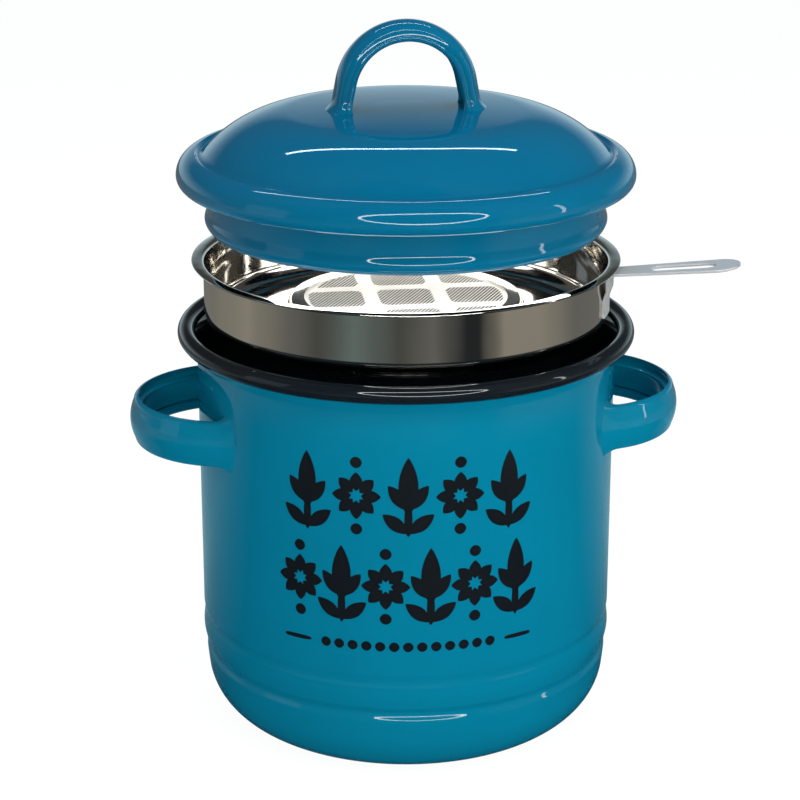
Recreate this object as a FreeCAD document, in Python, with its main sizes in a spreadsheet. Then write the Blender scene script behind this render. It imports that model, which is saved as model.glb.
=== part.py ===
import FreeCAD, Part
import math
import os

import Sketcher

# Enamelled kitchen pot with a lift-out strainer and a lid with a bow handle.
# Lengths are in millimetres. The origin is the middle of the pot's base, with +Z up,
# the side handles along X, and the front towards -Y.

# Driving dimensions. Each can be changed alone.
SIZES = [
    ("rim_height", 121.0, "centre of the rolled rim above the base"),
    ("wall_radius", 62.2, "outside of the pot's straight wall"),
    ("rim_spread", 3.1, "middle of the rolled rim, outwards from the wall's outside"),
    ("rim_bead_radius", 2.6, "half the thickness of the rolled rim"),
    ("neck_drop", 6.5, "the wall flares out to the rim over this height"),
    ("base_corner", 17.6, "rounding between the wall and the base"),
    ("corner_sweep", 80.0, "slope at which the rounding passes into the wall, in degrees"),
    ("foot_draw", 1.3, "the wall draws in by this from above the grooves to the rounding"),
    ("shell_thickness", 0.8, "enamelled steel of the pot"),
    ("lining_thickness", 0.3, "black enamel inside the pot and the lid"),
    ("groove_depth", 0.9, "grooves pressed into the wall"),
    ("groove_width", 5.0, "grooves pressed into the wall"),
    ("groove_margin", 5.8, "lowest groove above the base corner"),
    ("groove_pitch", 10.4, "from one groove to the next"),
    ("handle_drop", 25.3, "middle of the side handles below the rolled rim"),
    ("handle_radius", 30.2, "outside of the side handle's round loop, seen from above"),
    ("handle_sink", 9.7, "middle of the loop, inwards from the pot's wall"),
    ("handle_band", 13.8, "height of the side handle's band"),
    ("handle_edge", 1.5, "radius of the band's rolled edges"),
    ("handle_crown", 1.2, "how far the band's face bulges past its edges"),
    ("handle_recess", 1.6, "hollow in the band's inner face"),
    ("handle_root", 6.0, "straight start of the band inside the pot, before it is trimmed"),
    ("weld_toe_spread", 1.6, "low toe of the enamel fillet round a handle's foot, outwards"),
    ("weld_toe", 1.0, "height of the fillet's low toe"),
    ("weld_spread", 0.6, "upper part of the fillet, outwards"),
    ("weld_height", 2.8, "height of the whole fillet"),
    ("seat_clearance", 0.3, "between pieces that rest on each other and lift apart"),
    ("slide_clearance", 0.5, "between the strainer's handle leg and the pot's lining"),
    ("flange_overlap", 0.5, "how far the strainer's flange covers the pot's rim"),
    ("pan_thickness", 0.5, "sheet of the strainer pan"),
    ("pan_depth", 20.5, "strainer pan, flange to bottom"),
    ("pan_corner", 6.0, "rounding between the pan's wall and floor"),
    ("flange_corner", 1.2, "rounding between the pan's wall and flange"),
    ("plateau_margin", 2.7, "plain edge of the raised middle, round the perforated disc"),
    ("plateau_rise", 7.5, "raised middle above the pan's floor"),
    ("plateau_slope", 2.5, "width of the slope round the raised middle"),
    ("drain_radius", 30.2, "opening in the raised middle"),
    ("mesh_overlap", 1.4, "perforated disc under the edge of its opening"),
    ("mesh_thickness", 0.3, "perforated disc"),
    ("mesh_field", 17.5, "side of one perforated field"),
    ("mesh_bar", 3.2, "plain bar between two fields"),
    ("mesh_pitch", 2.2, "from one slot to the next"),
    ("mesh_slot", 1.1, "width of a slot"),
    ("mesh_border", 0.8, "plain edge kept inside a field and the disc's opening"),
    ("mesh_lean", 76.0, "direction of the slots from the X axis, in degrees"),
    ("strip_thickness", 0.8, "flat strip of the strainer's handle"),
    ("strip_root_width", 8.6, "strip where it leaves the flange"),
    ("strip_tip_width", 12.6, "strip near its rounded tip"),
    ("strip_reach", 98.5, "tip of the strip from the axis"),
    ("strip_tilt", 7.5, "rise of the strip outside the flange, in degrees"),
    ("strip_turn", -22.0, "direction of the strip from the X axis, in degrees"),
    ("slot_length", 18.5, "hanging slot in the strip"),
    ("slot_width", 5.0, "hanging slot in the strip"),
    ("slot_margin", 7.0, "end of the slot to the strip's tip"),
    ("leg_gap", 1.0, "the leg stands off the pan's wall under the flange"),
    ("leg_stand", 5.5, "straight stretch of the leg under the flange"),
    ("leg_joggle", 3.0, "height over which the leg bends in to the wall"),
    ("leg_foot", 5.0, "stretch of the leg that lies on the wall"),
    ("strainer_raised", 17.8, "the strainer stands this far above its seat in the photograph"),
    ("lid_raised", 21.9, "the lid stands this far above its seat on the strainer"),
    ("lid_thickness", 1.0, "enamelled steel of the lid"),
    ("brim_overhang", 3.8, "outermost edge of the lid, outwards from the strainer's flange"),
    ("brim_edge", 3.2, "rounding under the lid's edge"),
    ("brim_height", 9.5, "top of the brim above its underside"),
    ("brim_lip", 1.0, "the brim's turned-in edge covers the strainer's flange by this"),
    ("dip_corner", 1.5, "rounding in the dip between the dome and the brim"),
    ("dip_width", 1.35, "foot of the dome, inwards from the top of the brim"),
    ("dip_depth", 0.59, "foot of the dome, below the top of the brim"),
    ("dome_height", 22.0, "top of the dome above the brim's underside"),
    ("crown_angle", 2.7, "slope where the lid's flat top meets its shoulder, in degrees"),
    ("shoulder_angle", 48.9, "slope of the dome where it meets the dip, in degrees"),
    ("collar_drop", 12.5, "collar below the brim's underside"),
    ("collar_thickness", 0.8, "sheet of the collar"),
    ("collar_bulge", 0.7, "rounded bead round the collar's lower part, proud of its sheet"),
    ("collar_bead_height", 5.4, "height of the collar's bead"),
    ("collar_tuck", 0.5, "the collar's lower edge is drawn in by this"),
    ("collar_clearance", 0.3, "between the collar and the strainer's wall"),
    ("bow_half_span", 20.8, "outer radius of the lid handle's bow"),
    ("bow_splay", 11.0, "spread of the bow's legs from upright, in degrees"),
    ("bow_rise", 47.4, "top of the lid's handle above the brim's underside"),
    ("bow_width", 12.4, "width of the handle's strap"),
    ("bow_edge", 1.1, "radius of the strap's rolled edges"),
    ("bow_depth", 5.6, "depth of the strap's channel section"),
    ("bow_recess", 2.6, "hollow in the strap's inner face"),
]

# Grooves round the foot of the pot's wall.
GROOVE_COUNT = 2

# Rounding of a fillet's corners, as a share of its half width.
CORNER_SHARE = 0.6

# Points tried along each slot of the perforated disc when it is clipped to its field.
SLOT_STEPS = 60

# Sizes that follow from the driving ones, so that what fits together stays together.
FITS = [
    ("pot_bore", "Sizes.wall_radius - Sizes.shell_thickness - Sizes.lining_thickness"),
    ("rim_centre_radius", "Sizes.wall_radius + Sizes.rim_spread"),
    ("neck_radius", "(Sizes.neck_drop^2 + Sizes.rim_spread^2) / (2 * Sizes.rim_spread)"),
    ("neck_height", "Sizes.rim_height - Sizes.neck_drop"),
    ("corner_across", "Sizes.base_corner * sin(Sizes.corner_sweep * 1deg)"),
    ("corner_top", "Sizes.base_corner * (1 - cos(Sizes.corner_sweep * 1deg))"),
    ("groove_low", "corner_top + Sizes.groove_margin"),
    ("foot_top", "groove_low + {} * Sizes.groove_pitch + Sizes.groove_width".format(
        GROOVE_COUNT - 1)),
    ("handle_height", "Sizes.rim_height - Sizes.handle_drop"),
    ("handle_face", "2 * Sizes.handle_edge + Sizes.handle_crown"),
    ("handle_bend", "Sizes.handle_radius - handle_face + Sizes.handle_edge"),
    ("handle_middle", "Sizes.wall_radius - Sizes.handle_sink"),
    ("weld_middle", "Sizes.wall_radius + Sizes.weld_height / 2"),
    ("weld_across", "(weld_middle^2 + handle_middle^2 - (handle_bend + Sizes.handle_crown / 2)^2)"
                    " / (2 * handle_middle)"),
    ("pan_radius", "pot_bore - Sizes.slide_clearance - Sizes.strip_thickness"),
    ("pan_bore", "pan_radius - Sizes.pan_thickness"),
    ("flange_radius", "rim_centre_radius - Sizes.rim_bead_radius + Sizes.flange_overlap"),
    ("flange_seat", "Sizes.rim_bead_radius + Sizes.seat_clearance + Sizes.strip_thickness"
                    " + Sizes.pan_thickness"),
    ("plateau_radius", "Sizes.drain_radius + Sizes.mesh_overlap + Sizes.plateau_margin"),
    ("strainer_height", "Sizes.rim_height + flange_seat + Sizes.strainer_raised"),
    ("lid_base", "strainer_height + Sizes.seat_clearance + Sizes.lid_raised"),
    ("collar_radius", "pan_bore - Sizes.collar_clearance"),
    ("collar_bore", "collar_radius - Sizes.collar_bulge - Sizes.collar_thickness"),
    ("brim_radius", "flange_radius + Sizes.brim_overhang"),
    ("brim_crown", "Sizes.brim_height - Sizes.brim_edge"),
    ("brim_centre", "brim_radius - brim_crown"),
    ("dome_foot", "brim_centre - Sizes.dip_width"),
    ("dome_rise", "Sizes.dome_height - Sizes.brim_height + Sizes.dip_depth"),
    ("crown_across", "sin(Sizes.crown_angle * 1deg)"),
    ("crown_sink", "1 - cos(Sizes.crown_angle * 1deg)"),
    ("slope_across", "sin(Sizes.shoulder_angle * 1deg) - crown_across"),
    ("slope_sink", "1 - cos(Sizes.shoulder_angle * 1deg) - crown_sink"),
    ("dome_share", "crown_across * slope_sink - slope_across * crown_sink"),
    ("crown_radius", "(dome_foot * slope_sink - dome_rise * slope_across) / dome_share"),
    ("shoulder_radius", "(dome_rise * crown_across - dome_foot * crown_sink) / dome_share"),
    ("crown_centre", "Sizes.dome_height - crown_radius"),
    ("shoulder_across", "(crown_radius - shoulder_radius) * crown_across"),
    ("shoulder_up", "crown_centre + (crown_radius - shoulder_radius) * (1 - crown_sink)"),
]


class Outline:
    """A sketch of lines and arcs whose corners and radii are bound to the sheets."""

    def __init__(self, body, name, plane="XZ_Plane", offset=None):
        self.sketch = body.newObject("Sketcher::SketchObject", name)
        features = body.Origin.OriginFeatures
        support = [feature for feature in features if feature.Role == plane]
        self.sketch.AttachmentSupport = [(support[0], "")]
        self.sketch.MapMode = "FlatFace"
        if offset:
            self.sketch.setExpression("AttachmentOffset.Base.z", offset)
        self.pieces = []
        self.last = None

    def value(self, expression):
        """The number that an expression over the sheets gives now."""
        return float(self.sketch.evalExpression(expression))

    def bind(self, kind, where, expression, name):
        """Add one dimension and bind it to its expression."""
        index = self.sketch.addConstraint(Sketcher.Constraint(kind, *where, self.value(expression)))
        self.sketch.renameConstraint(index, name)
        self.sketch.setExpression("Constraints." + name, expression)

    def pin(self, geometry, end, corner):
        """Place one corner by its two coordinates."""
        across, up = corner
        label = "corner" + str(len(self.pieces))
        if across == "0":
            self.sketch.addConstraint(Sketcher.Constraint("PointOnObject", geometry, end, -2))
        else:
            self.bind("DistanceX", (-1, 1, geometry, end), across, label + "_across")
        if up == "0":
            self.sketch.addConstraint(Sketcher.Constraint("PointOnObject", geometry, end, -1))
        else:
            self.bind("DistanceY", (-1, 1, geometry, end), up, label + "_up")

    def point(self, corner):
        """The corner as a vector in the sketch's plane."""
        return FreeCAD.Vector(self.value(corner[0]), self.value(corner[1]), 0)

    def start(self, across, up):
        """Begin the outline at a corner."""
        self.first = (across, up)
        self.last = (across, up)
        return self

    def add(self, geometry, begin, end, corner):
        """Add one piece, join it to the piece before and place its far corner."""
        index = self.sketch.addGeometry(geometry, False)
        if self.pieces:
            before, unused, joint = self.pieces[-1]
            self.sketch.addConstraint(Sketcher.Constraint("Coincident", before, joint, index, begin))
        else:
            self.pin(index, begin, self.first)
        self.pieces.append((index, begin, end))
        if corner == self.first:
            head, joint, unused = self.pieces[0]
            self.sketch.addConstraint(Sketcher.Constraint("Coincident", index, end, head, joint))
        else:
            self.pin(index, end, corner)
        self.last = corner
        return index

    def line(self, across, up):
        """Draw a straight piece to the next corner."""
        self.add(Part.LineSegment(self.point(self.last), self.point((across, up))), 1, 2, (across, up))
        return self

    def arc(self, across, up, radius, turn):
        """Draw an arc of under half a circle. Turn is 1 for anticlockwise and -1 for clockwise."""
        a = self.point(self.last)
        b = self.point((across, up))
        size = self.value(radius)
        chord = b - a
        normal = FreeCAD.Vector(-chord.y, chord.x, 0)
        normal.normalize()
        reach = math.sqrt(size * size - chord.Length * chord.Length / 4)
        centre = a + chord * 0.5 + normal * (reach * turn)
        circle = Part.Circle(centre, FreeCAD.Vector(0, 0, 1), size)
        head, tail = (a, b) if turn > 0 else (b, a)
        begin, end = (1, 2) if turn > 0 else (2, 1)
        first = math.atan2(head.y - centre.y, head.x - centre.x)
        last = math.atan2(tail.y - centre.y, tail.x - centre.x)
        if last < first:
            last += 2 * math.pi
        index = self.add(Part.ArcOfCircle(circle, first, last), begin, end, (across, up))
        self.bind("Radius", (index,), radius, "radius" + str(len(self.pieces)))
        return self

    def close(self):
        """Draw a straight piece back to the first corner."""
        self.line(*self.first)
        return self.sketch


def minus(expression, amount):
    """One expression less another."""
    return "{} - ({})".format(expression, amount)


def new_body(doc, name):
    """An empty body."""
    return doc.addObject("PartDesign::Body", name)


def turned(body, sketch, name, cut=False):
    """Turn an outline round the sketch's upright axis, to add or to cut."""
    kind = "PartDesign::Groove" if cut else "PartDesign::Revolution"
    feature = body.newObject(kind, name)
    feature.Profile = sketch
    feature.ReferenceAxis = (sketch, ["V_Axis"])
    feature.Angle = 360
    return feature


def ring_outline(body, name, centre, up, radius):
    """A full circle, away from the axis, as four arcs."""
    ring = Outline(body, name)
    ring.start(centre, minus(up, radius))
    ring.arc(centre + " + " + radius, up, radius, 1)
    ring.arc(centre, up + " + " + radius, radius, 1)
    ring.arc(minus(centre, radius), up, radius, 1)
    ring.arc(centre, minus(up, radius), radius, 1)
    return ring.sketch


def foot_wall(height, skin):
    """The wall's radius at a height between the corner and the top groove, less the skin."""
    share = "((Fits.foot_top - ({})) / (Fits.foot_top - Fits.corner_top))".format(height)
    return minus("Sizes.wall_radius - Sizes.foot_draw * {}^2".format(share), skin)


def pot_outline(body, name, skin):
    """The filled pot, with its wall, corner, grooves and neck moved in by the skin."""
    toe = "Sizes.wall_radius - Sizes.foot_draw - Fits.corner_across"
    rounding = minus("Sizes.base_corner", skin)
    reach = "sqrt(({})^2 - (Sizes.base_corner - Fits.corner_top)^2)".format(rounding)
    pot = Outline(body, name)
    pot.start("0", skin)
    pot.line(toe, skin)
    pot.arc("{} + {}".format(toe, reach), "Fits.corner_top", rounding, 1)
    radius = "(Sizes.groove_width^2 / 4 + Sizes.groove_depth^2) / (2 * Sizes.groove_depth)"
    for number in range(GROOVE_COUNT):
        low = "Fits.groove_low + {} * Sizes.groove_pitch".format(number)
        high = low + " + Sizes.groove_width"
        pot.line(foot_wall(low, skin), low)
        pot.arc(foot_wall(high, skin), high, radius, -1)
    pot.line(minus("Sizes.wall_radius", skin), "Fits.neck_height")
    bend = "(Fits.neck_radius + {})".format(skin)
    mouth = "Sizes.wall_radius + Fits.neck_radius - sqrt({}^2 - Sizes.neck_drop^2)".format(bend)
    pot.arc(mouth, "Sizes.rim_height", bend, -1)
    pot.line("0", "Sizes.rim_height")
    return pot.close()


def pot_layer(doc, label, outside, inside):
    """One layer of the pot, trimmed by the rolled rim."""
    body = new_body(doc, label)
    turned(body, pot_outline(body, label + "_outside", outside), label + "_blank")
    turned(body, pot_outline(body, label + "_inside", inside), label + "_hollow", cut=True)
    seat = ring_outline(body, label + "_rim_seat", "Fits.rim_centre_radius", "Sizes.rim_height",
                        "Sizes.rim_bead_radius")
    turned(body, seat, label + "_rim_cut", cut=True)
    body.Label = label
    return body


def rim_roll(doc):
    """The rolled rim round the pot's mouth."""
    body = new_body(doc, "rim_roll")
    ring = ring_outline(body, "rim_section", "Fits.rim_centre_radius", "Sizes.rim_height",
                        "Sizes.rim_bead_radius")
    turned(body, ring, "rim_turn")
    return body


def side_handle_blank(doc, name):
    """The side handle's band, before its ends are trimmed to the wall."""
    body = new_body(doc, name)
    root = "Fits.handle_middle - Sizes.handle_root"
    path = Outline(body, name + "_path", "XY_Plane", "Fits.handle_height")
    path.start(root, "-1 * Fits.handle_bend")
    path.line("Fits.handle_middle", "-1 * Fits.handle_bend")
    path.arc("Fits.handle_middle + Fits.handle_bend", "0", "Fits.handle_bend", 1)
    path.arc("Fits.handle_middle", "Fits.handle_bend", "Fits.handle_bend", 1)
    path.line(root, "Fits.handle_bend")
    inner = "-1 * ({})".format(minus("Sizes.handle_radius", "Fits.handle_face"))
    section = band_outline(body, name + "_section", "YZ_Plane", root, inner, "-",
                           "Fits.handle_height", "Sizes.handle_band", "Sizes.handle_edge",
                           "Sizes.handle_crown", "Sizes.handle_recess")
    pipe = body.newObject("PartDesign::AdditivePipe", name + "_sweep")
    pipe.Profile = section
    pipe.Spine = path.sketch
    return body


def band_outline(body, name, plane, offset, inner, outward, middle, band, edge, crown, recess):
    """A band with rolled edges, a bulging outer face and a hollow inner face."""
    def place(depth, height):
        across = "{} {} ({})".format(inner, outward, depth)
        up = "{} + ({})".format(middle, height)
        return across, up
    top = "{} / 2".format(band)
    level = minus(top, edge)
    lip = minus(level, edge)
    face = "2 * " + edge
    bulge = "(({0})^2 + {1}^2) / (2 * {1})".format(level, crown)
    turn = 1 if outward == "-" else -1
    band_section = Outline(body, name, plane, offset)
    band_section.start(*place("0", level))
    band_section.arc(*place(edge, top), edge, turn)
    band_section.arc(*place(face, level), edge, turn)
    band_section.arc(*place("{} + {}".format(face, crown), "0"), bulge, turn)
    band_section.arc(*place(face, "-1 * ({})".format(level)), bulge, turn)
    band_section.arc(*place(edge, "-1 * ({})".format(top)), edge, turn)
    band_section.arc(*place("0", "-1 * ({})".format(level)), edge, turn)
    band_section.line(*place(recess, "-1 * ({})".format(lip)))
    band_section.line(*place(recess, lip))
    return band_section.close()


def bound(doc, kind, name, **sizes):
    """A simple solid whose sizes are bound to the sheets."""
    item = doc.addObject(kind, name)
    for key, expression in sizes.items():
        item.setExpression(key.replace("_", "."), expression)
    return item


def cut(doc, label, base, tool):
    """The base with the tool taken away."""
    result = doc.addObject("Part::Cut", label)
    result.Base = base
    result.Tool = tool
    result.Label = label
    return result


def side_weld_blank(doc, name, side):
    """The enamel fillet at one end of a side handle, square to the wall, before it is trimmed."""
    body = weld_blank(doc, name, "YZ_Plane", "Sizes.wall_radius", "0 * Sizes.wall_radius",
                      "Fits.handle_height", "Fits.handle_face / 2", "Sizes.handle_band / 2")
    turn = side + "acos(Fits.weld_across / Fits.weld_middle)"
    body.setExpression("Placement.Rotation.Angle", turn)
    return body


def weld_blank(doc, name, plane, level, across, up, half_across, half_up):
    """A fillet with a wide low toe and a narrow upper part, starting below the surface."""
    body = new_body(doc, name)
    start = level + " - Sizes.weld_toe"
    for part, spread, height in (("toe", "Sizes.weld_toe_spread", "Sizes.weld_toe"),
                                 ("top", "Sizes.weld_spread", "Sizes.weld_height")):
        sunk = "{0} * (1 + Sizes.weld_toe / {1})".format(spread, height)
        outline = rounded_outline(body, name + "_" + part, plane, start, across, up,
                                  "({} + {})".format(half_across, sunk),
                                  "({} + {})".format(half_up, sunk))
        pad = body.newObject("PartDesign::Pad", name + "_" + part + "_pad")
        pad.Profile = outline
        pad.setExpression("Length", "{} + Sizes.weld_toe".format(height))
        pad.setExpression("TaperAngle", "-1 * atan({} / {})".format(spread, height))
    return body


def rounded_outline(body, name, plane, offset, across, up, half_across, half_up):
    """A rectangle with rounded corners, centred at a point."""
    corner = "{} * {}".format(half_across, CORNER_SHARE)
    left = "{} - {}".format(across, half_across)
    right = "{} + {}".format(across, half_across)
    low = "{} - {}".format(up, half_up)
    high = "{} + {}".format(up, half_up)
    shape = Outline(body, name, plane, offset)
    shape.start("{} + {}".format(left, corner), low)
    shape.line(minus(right, corner), low)
    shape.arc(right, "{} + {}".format(low, corner), corner, 1)
    shape.line(right, minus(high, corner))
    shape.arc(minus(right, corner), high, corner, 1)
    shape.line("{} + {}".format(left, corner), high)
    shape.arc(left, minus(high, corner), corner, 1)
    shape.line(left, "{} + {}".format(low, corner))
    shape.arc("{} + {}".format(left, corner), low, corner, 1)
    return shape.sketch


def lid_outline(body, name, skin, under=False):
    """The filled lid, drawn in by the skin. Under leaves the brim's turned-in edge standing."""
    crown = "(Fits.crown_radius - ({}))".format(skin)
    shoulder = "(Fits.shoulder_radius - ({}))".format(skin)
    rim = "(Fits.brim_crown - ({}))".format(skin)
    lid = Outline(body, name)
    lid.start("0", "0")
    if under:
        lid.line("Fits.flange_radius - Sizes.brim_lip", "0")
        lid.line("Fits.flange_radius - Sizes.brim_lip", skin)
    lid.line("Fits.brim_radius - Sizes.brim_edge", skin if under else "0")
    lid.arc(minus("Fits.brim_radius", skin), "Sizes.brim_edge", minus("Sizes.brim_edge", skin), 1)
    lid.arc("Fits.brim_centre", "Sizes.brim_edge + " + rim, rim, 1)
    end_across = "Fits.shoulder_across + {} * sin(Sizes.shoulder_angle * 1deg)".format(shoulder)
    end_up = "Fits.shoulder_up + {} * cos(Sizes.shoulder_angle * 1deg)".format(shoulder)
    lid.arc(end_across, end_up, "Sizes.dip_corner + " + skin, -1)
    top_across = "{} * sin(Sizes.crown_angle * 1deg)".format(crown)
    top_up = "Fits.crown_centre + {} * cos(Sizes.crown_angle * 1deg)".format(crown)
    lid.arc(top_across, top_up, shoulder, 1)
    lid.arc("0", minus("Sizes.dome_height", skin), crown, 1)
    return lid.close()


def lid_solid(doc, name, skin, under=False):
    """The filled lid as a helper solid."""
    body = new_body(doc, name)
    turned(body, lid_outline(body, name + "_outline", skin, under), name + "_turn")
    return body


def lid_shell(doc):
    """The lid's pressing: dome, dip and brim."""
    body = new_body(doc, "lid_shell")
    turned(body, lid_outline(body, "lid_outside", "0"), "lid_blank")
    turned(body, lid_outline(body, "lid_underside", "Sizes.lid_thickness", under=True),
           "lid_hollow", cut=True)
    return body


def under_lid(doc, name, skin):
    """All the space below the lid's sheet, with the sheet thickened by the skin."""
    dome = lid_solid(doc, name + "_dome", skin)
    below = bound(doc, "Part::Cylinder", name + "_below", Radius="Fits.brim_radius",
                  Height="2 * Sizes.collar_drop", Placement_Base_z="-2 * Sizes.collar_drop")
    whole = doc.addObject("Part::Fuse", name)
    whole.Base = dome
    whole.Tool = below
    return whole


def trimmed_ring(doc, label, bore, radius, drop, space):
    """A ring from its lower edge up to the lid's underside."""
    body = new_body(doc, label + "_blank")
    ring = Outline(body, label + "_section")
    ring.start(bore, drop)
    ring.line(radius, drop)
    ring.line(radius, "Sizes.dome_height")
    ring.line(bore, "Sizes.dome_height")
    turned(body, ring.close(), label + "_turn")
    piece = doc.addObject("Part::Common", label)
    piece.Base = body
    piece.Tool = space
    return piece


def lid_collar(doc, space):
    """The ring under the lid that drops into the strainer, with a bead round its lower part."""
    body = new_body(doc, "collar_blank")
    drop = "-1 * Sizes.collar_drop"
    sheet = "Fits.collar_bore + Sizes.collar_thickness"
    middle = "{} + Sizes.collar_bead_height / 2".format(drop)
    upper = "((Sizes.collar_bead_height^2 / 4 + Sizes.collar_bulge^2) / (2 * Sizes.collar_bulge))"
    reach = "(Sizes.collar_bulge + Sizes.collar_tuck)"
    lower = "((Sizes.collar_bead_height^2 / 4 + {0}^2) / (2 * {0}))".format(reach)
    ring = Outline(body, "collar_section")
    ring.start("Fits.collar_bore", drop)
    ring.line(minus(sheet, "Sizes.collar_tuck"), drop)
    ring.arc("Fits.collar_radius", middle, lower, 1)
    ring.arc(sheet, middle + " + Sizes.collar_bead_height / 2", upper, 1)
    ring.line(sheet, "Sizes.dome_height")
    ring.line("Fits.collar_bore", "Sizes.dome_height")
    turned(body, ring.close(), "collar_turn")
    piece = doc.addObject("Part::Common", "lid_collar")
    piece.Base = body
    piece.Tool = space
    return piece


def lid_lining(doc, space):
    """Black enamel under the dome and down the collar's inner face."""
    drop = "-1 * Sizes.collar_drop"
    inner_space = under_lid(doc, "inner_lid_space", "Sizes.lid_thickness + Sizes.lining_thickness")
    outside = trimmed_ring(doc, "lining_outside", "0", "Fits.collar_bore", drop, space)
    inner_radius = "Fits.collar_bore - Sizes.lining_thickness"
    inside = trimmed_ring(doc, "lining_inside", "0", inner_radius, "2 * " + drop, inner_space)
    return cut(doc, "lid_lining", outside, inside)


def bow_blank(doc, name):
    """The lid handle's strap, before its feet are trimmed to the dome."""
    body = new_body(doc, name)
    foot = "Sizes.brim_height"
    radius = "(Sizes.bow_half_span - Sizes.bow_edge)"
    centre = "(Sizes.bow_rise - Sizes.bow_half_span)"
    splay = "(Sizes.bow_splay * 1deg)"
    side = "({} * cos{})".format(radius, splay)
    height = "({} + {} * sin{})".format(centre, radius, splay)
    root = "({} + ({} - {}) * tan{})".format(side, height, foot, splay)
    path = Outline(body, name + "_path")
    path.start("-1 * " + root, foot)
    path.line("-1 * " + side, height)
    path.arc("0", "{} + {}".format(centre, radius), radius, -1)
    path.arc(side, height, radius, -1)
    path.line(root, foot)
    section = bow_outline(body, name + "_section", foot, root)
    pipe = body.newObject("PartDesign::AdditivePipe", name + "_sweep")
    pipe.Profile = section
    pipe.Spine = path.sketch
    return body


def bow_outline(body, name, foot, root):
    """The strap's channel section: a crowned back with two rolled edges."""
    def place(depth, side):
        return "-1 * {} - Sizes.bow_edge + ({})".format(root, depth), side
    edge = "Sizes.bow_edge"
    half = "Sizes.bow_width / 2"
    level = minus(half, edge)
    deep = minus("Sizes.bow_depth", edge)
    sag = minus(deep, edge)
    crown = "(({0})^2 + ({1})^2) / (2 * ({1}))".format(half, sag)
    lip = minus(level, edge)
    strap = Outline(body, name, "XY_Plane", foot)
    strap.start(*place(sag, half))
    strap.arc(*place("0", "0"), crown, 1)
    strap.arc(*place(sag, "-1 * ({})".format(half)), crown, 1)
    strap.line(*place(deep, "-1 * ({})".format(half)))
    strap.arc(*place("Sizes.bow_depth", "-1 * ({})".format(level)), edge, 1)
    strap.arc(*place(deep, "-1 * ({})".format(lip)), edge, 1)
    strap.line(*place(minus("Sizes.bow_depth", "Sizes.bow_recess"), "-1 * ({}) / 2".format(lip)))
    strap.line(*place(minus("Sizes.bow_depth", "Sizes.bow_recess"), "({}) / 2".format(lip)))
    strap.line(*place(deep, lip))
    strap.arc(*place("Sizes.bow_depth", level), edge, 1)
    strap.arc(*place(deep, half), edge, 1)
    return strap.close()


def bow_weld_blank(doc, name, side):
    """The enamel fillet at one foot of the lid's handle, before it is trimmed."""
    splay = "(Sizes.bow_splay * 1deg)"
    drop = ("(Sizes.bow_rise - Sizes.bow_half_span + Sizes.bow_half_span * sin{}"
            " - Sizes.dome_height)").format(splay)
    outer = "(Sizes.bow_half_span * cos{0} + {1} * tan{0})".format(splay, drop)
    middle = side + "({} - Sizes.bow_depth / cos{} / 2)".format(outer, splay)
    return weld_blank(doc, name, "XY_Plane", "Sizes.dome_height", middle, "0 * Sizes.bow_width",
                      "Sizes.bow_depth / 2", "Sizes.bow_width / 2")


def welds(doc, label, first, second, core, handle):
    """Two fillets as one group, trimmed by the surface below and the handle through them."""
    pair = doc.addObject("Part::Fuse", label + "_pair")
    pair.Base = first
    pair.Tool = second
    outside = cut(doc, label + "_outside", pair, core)
    return cut(doc, label, outside, handle)


def strainer_pan(doc):
    """The strainer's pressed pan: flange, wall, floor and raised middle with its opening."""
    body = new_body(doc, "strainer_pan")
    sheet = "Sizes.pan_thickness"
    floor = "-1 * Sizes.pan_depth + " + sheet
    plateau = floor + " + Sizes.plateau_rise"
    toe = "Fits.plateau_radius + Sizes.plateau_slope"
    knee = "-1 * Sizes.pan_depth + Sizes.pan_corner"
    bend = minus("Sizes.pan_corner", sheet)
    tight = minus("Sizes.flange_corner", sheet)
    pan = Outline(body, "pan_section")
    pan.start("Fits.flange_radius", "0")
    pan.line("Fits.pan_bore + Sizes.flange_corner", "0")
    pan.arc("Fits.pan_bore", "-1 * Sizes.flange_corner", "Sizes.flange_corner", 1)
    pan.line("Fits.pan_bore", knee)
    pan.arc(minus("Fits.pan_bore", bend), floor, bend, -1)
    pan.line(toe, floor)
    pan.line("Fits.plateau_radius", plateau)
    pan.line("Sizes.drain_radius", plateau)
    pan.line("Sizes.drain_radius", minus(plateau, sheet))
    pan.line(minus("Fits.plateau_radius", sheet), minus(plateau, sheet))
    pan.line(minus(toe, sheet), minus(floor, sheet))
    pan.line("Fits.pan_radius - Sizes.pan_corner", minus(floor, sheet))
    pan.arc("Fits.pan_radius", knee, "Sizes.pan_corner", 1)
    pan.line("Fits.pan_radius", "-1 * Sizes.flange_corner")
    pan.arc("Fits.pan_radius + " + tight, "-1 * " + sheet, tight, -1)
    pan.line("Fits.flange_radius", "-1 * " + sheet)
    turned(body, pan.close(), "pan_turn")
    body.setExpression("Placement.Base.z", "Fits.strainer_height")
    return body


def slot_wires(sizes):
    """The slots of the perforated disc: three by three fields of leaning slots."""
    lean = math.radians(sizes.mesh_lean)
    rise = math.sin(lean)
    drift = math.cos(lean)
    half = sizes.mesh_field / 2 - sizes.mesh_border
    limit = sizes.drain_radius - sizes.mesh_border
    step = sizes.mesh_field + sizes.mesh_bar
    count = int(sizes.mesh_field * 2 / sizes.mesh_pitch)
    wires = []
    for column in (-1, 0, 1):
        for row in (-1, 0, 1):
            for number in range(-count, count + 1):
                wire = slot_wire(sizes, column * step, row * step, number * sizes.mesh_pitch,
                                 half, limit, rise, drift)
                if wire:
                    wires.append(wire)
    return wires


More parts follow.
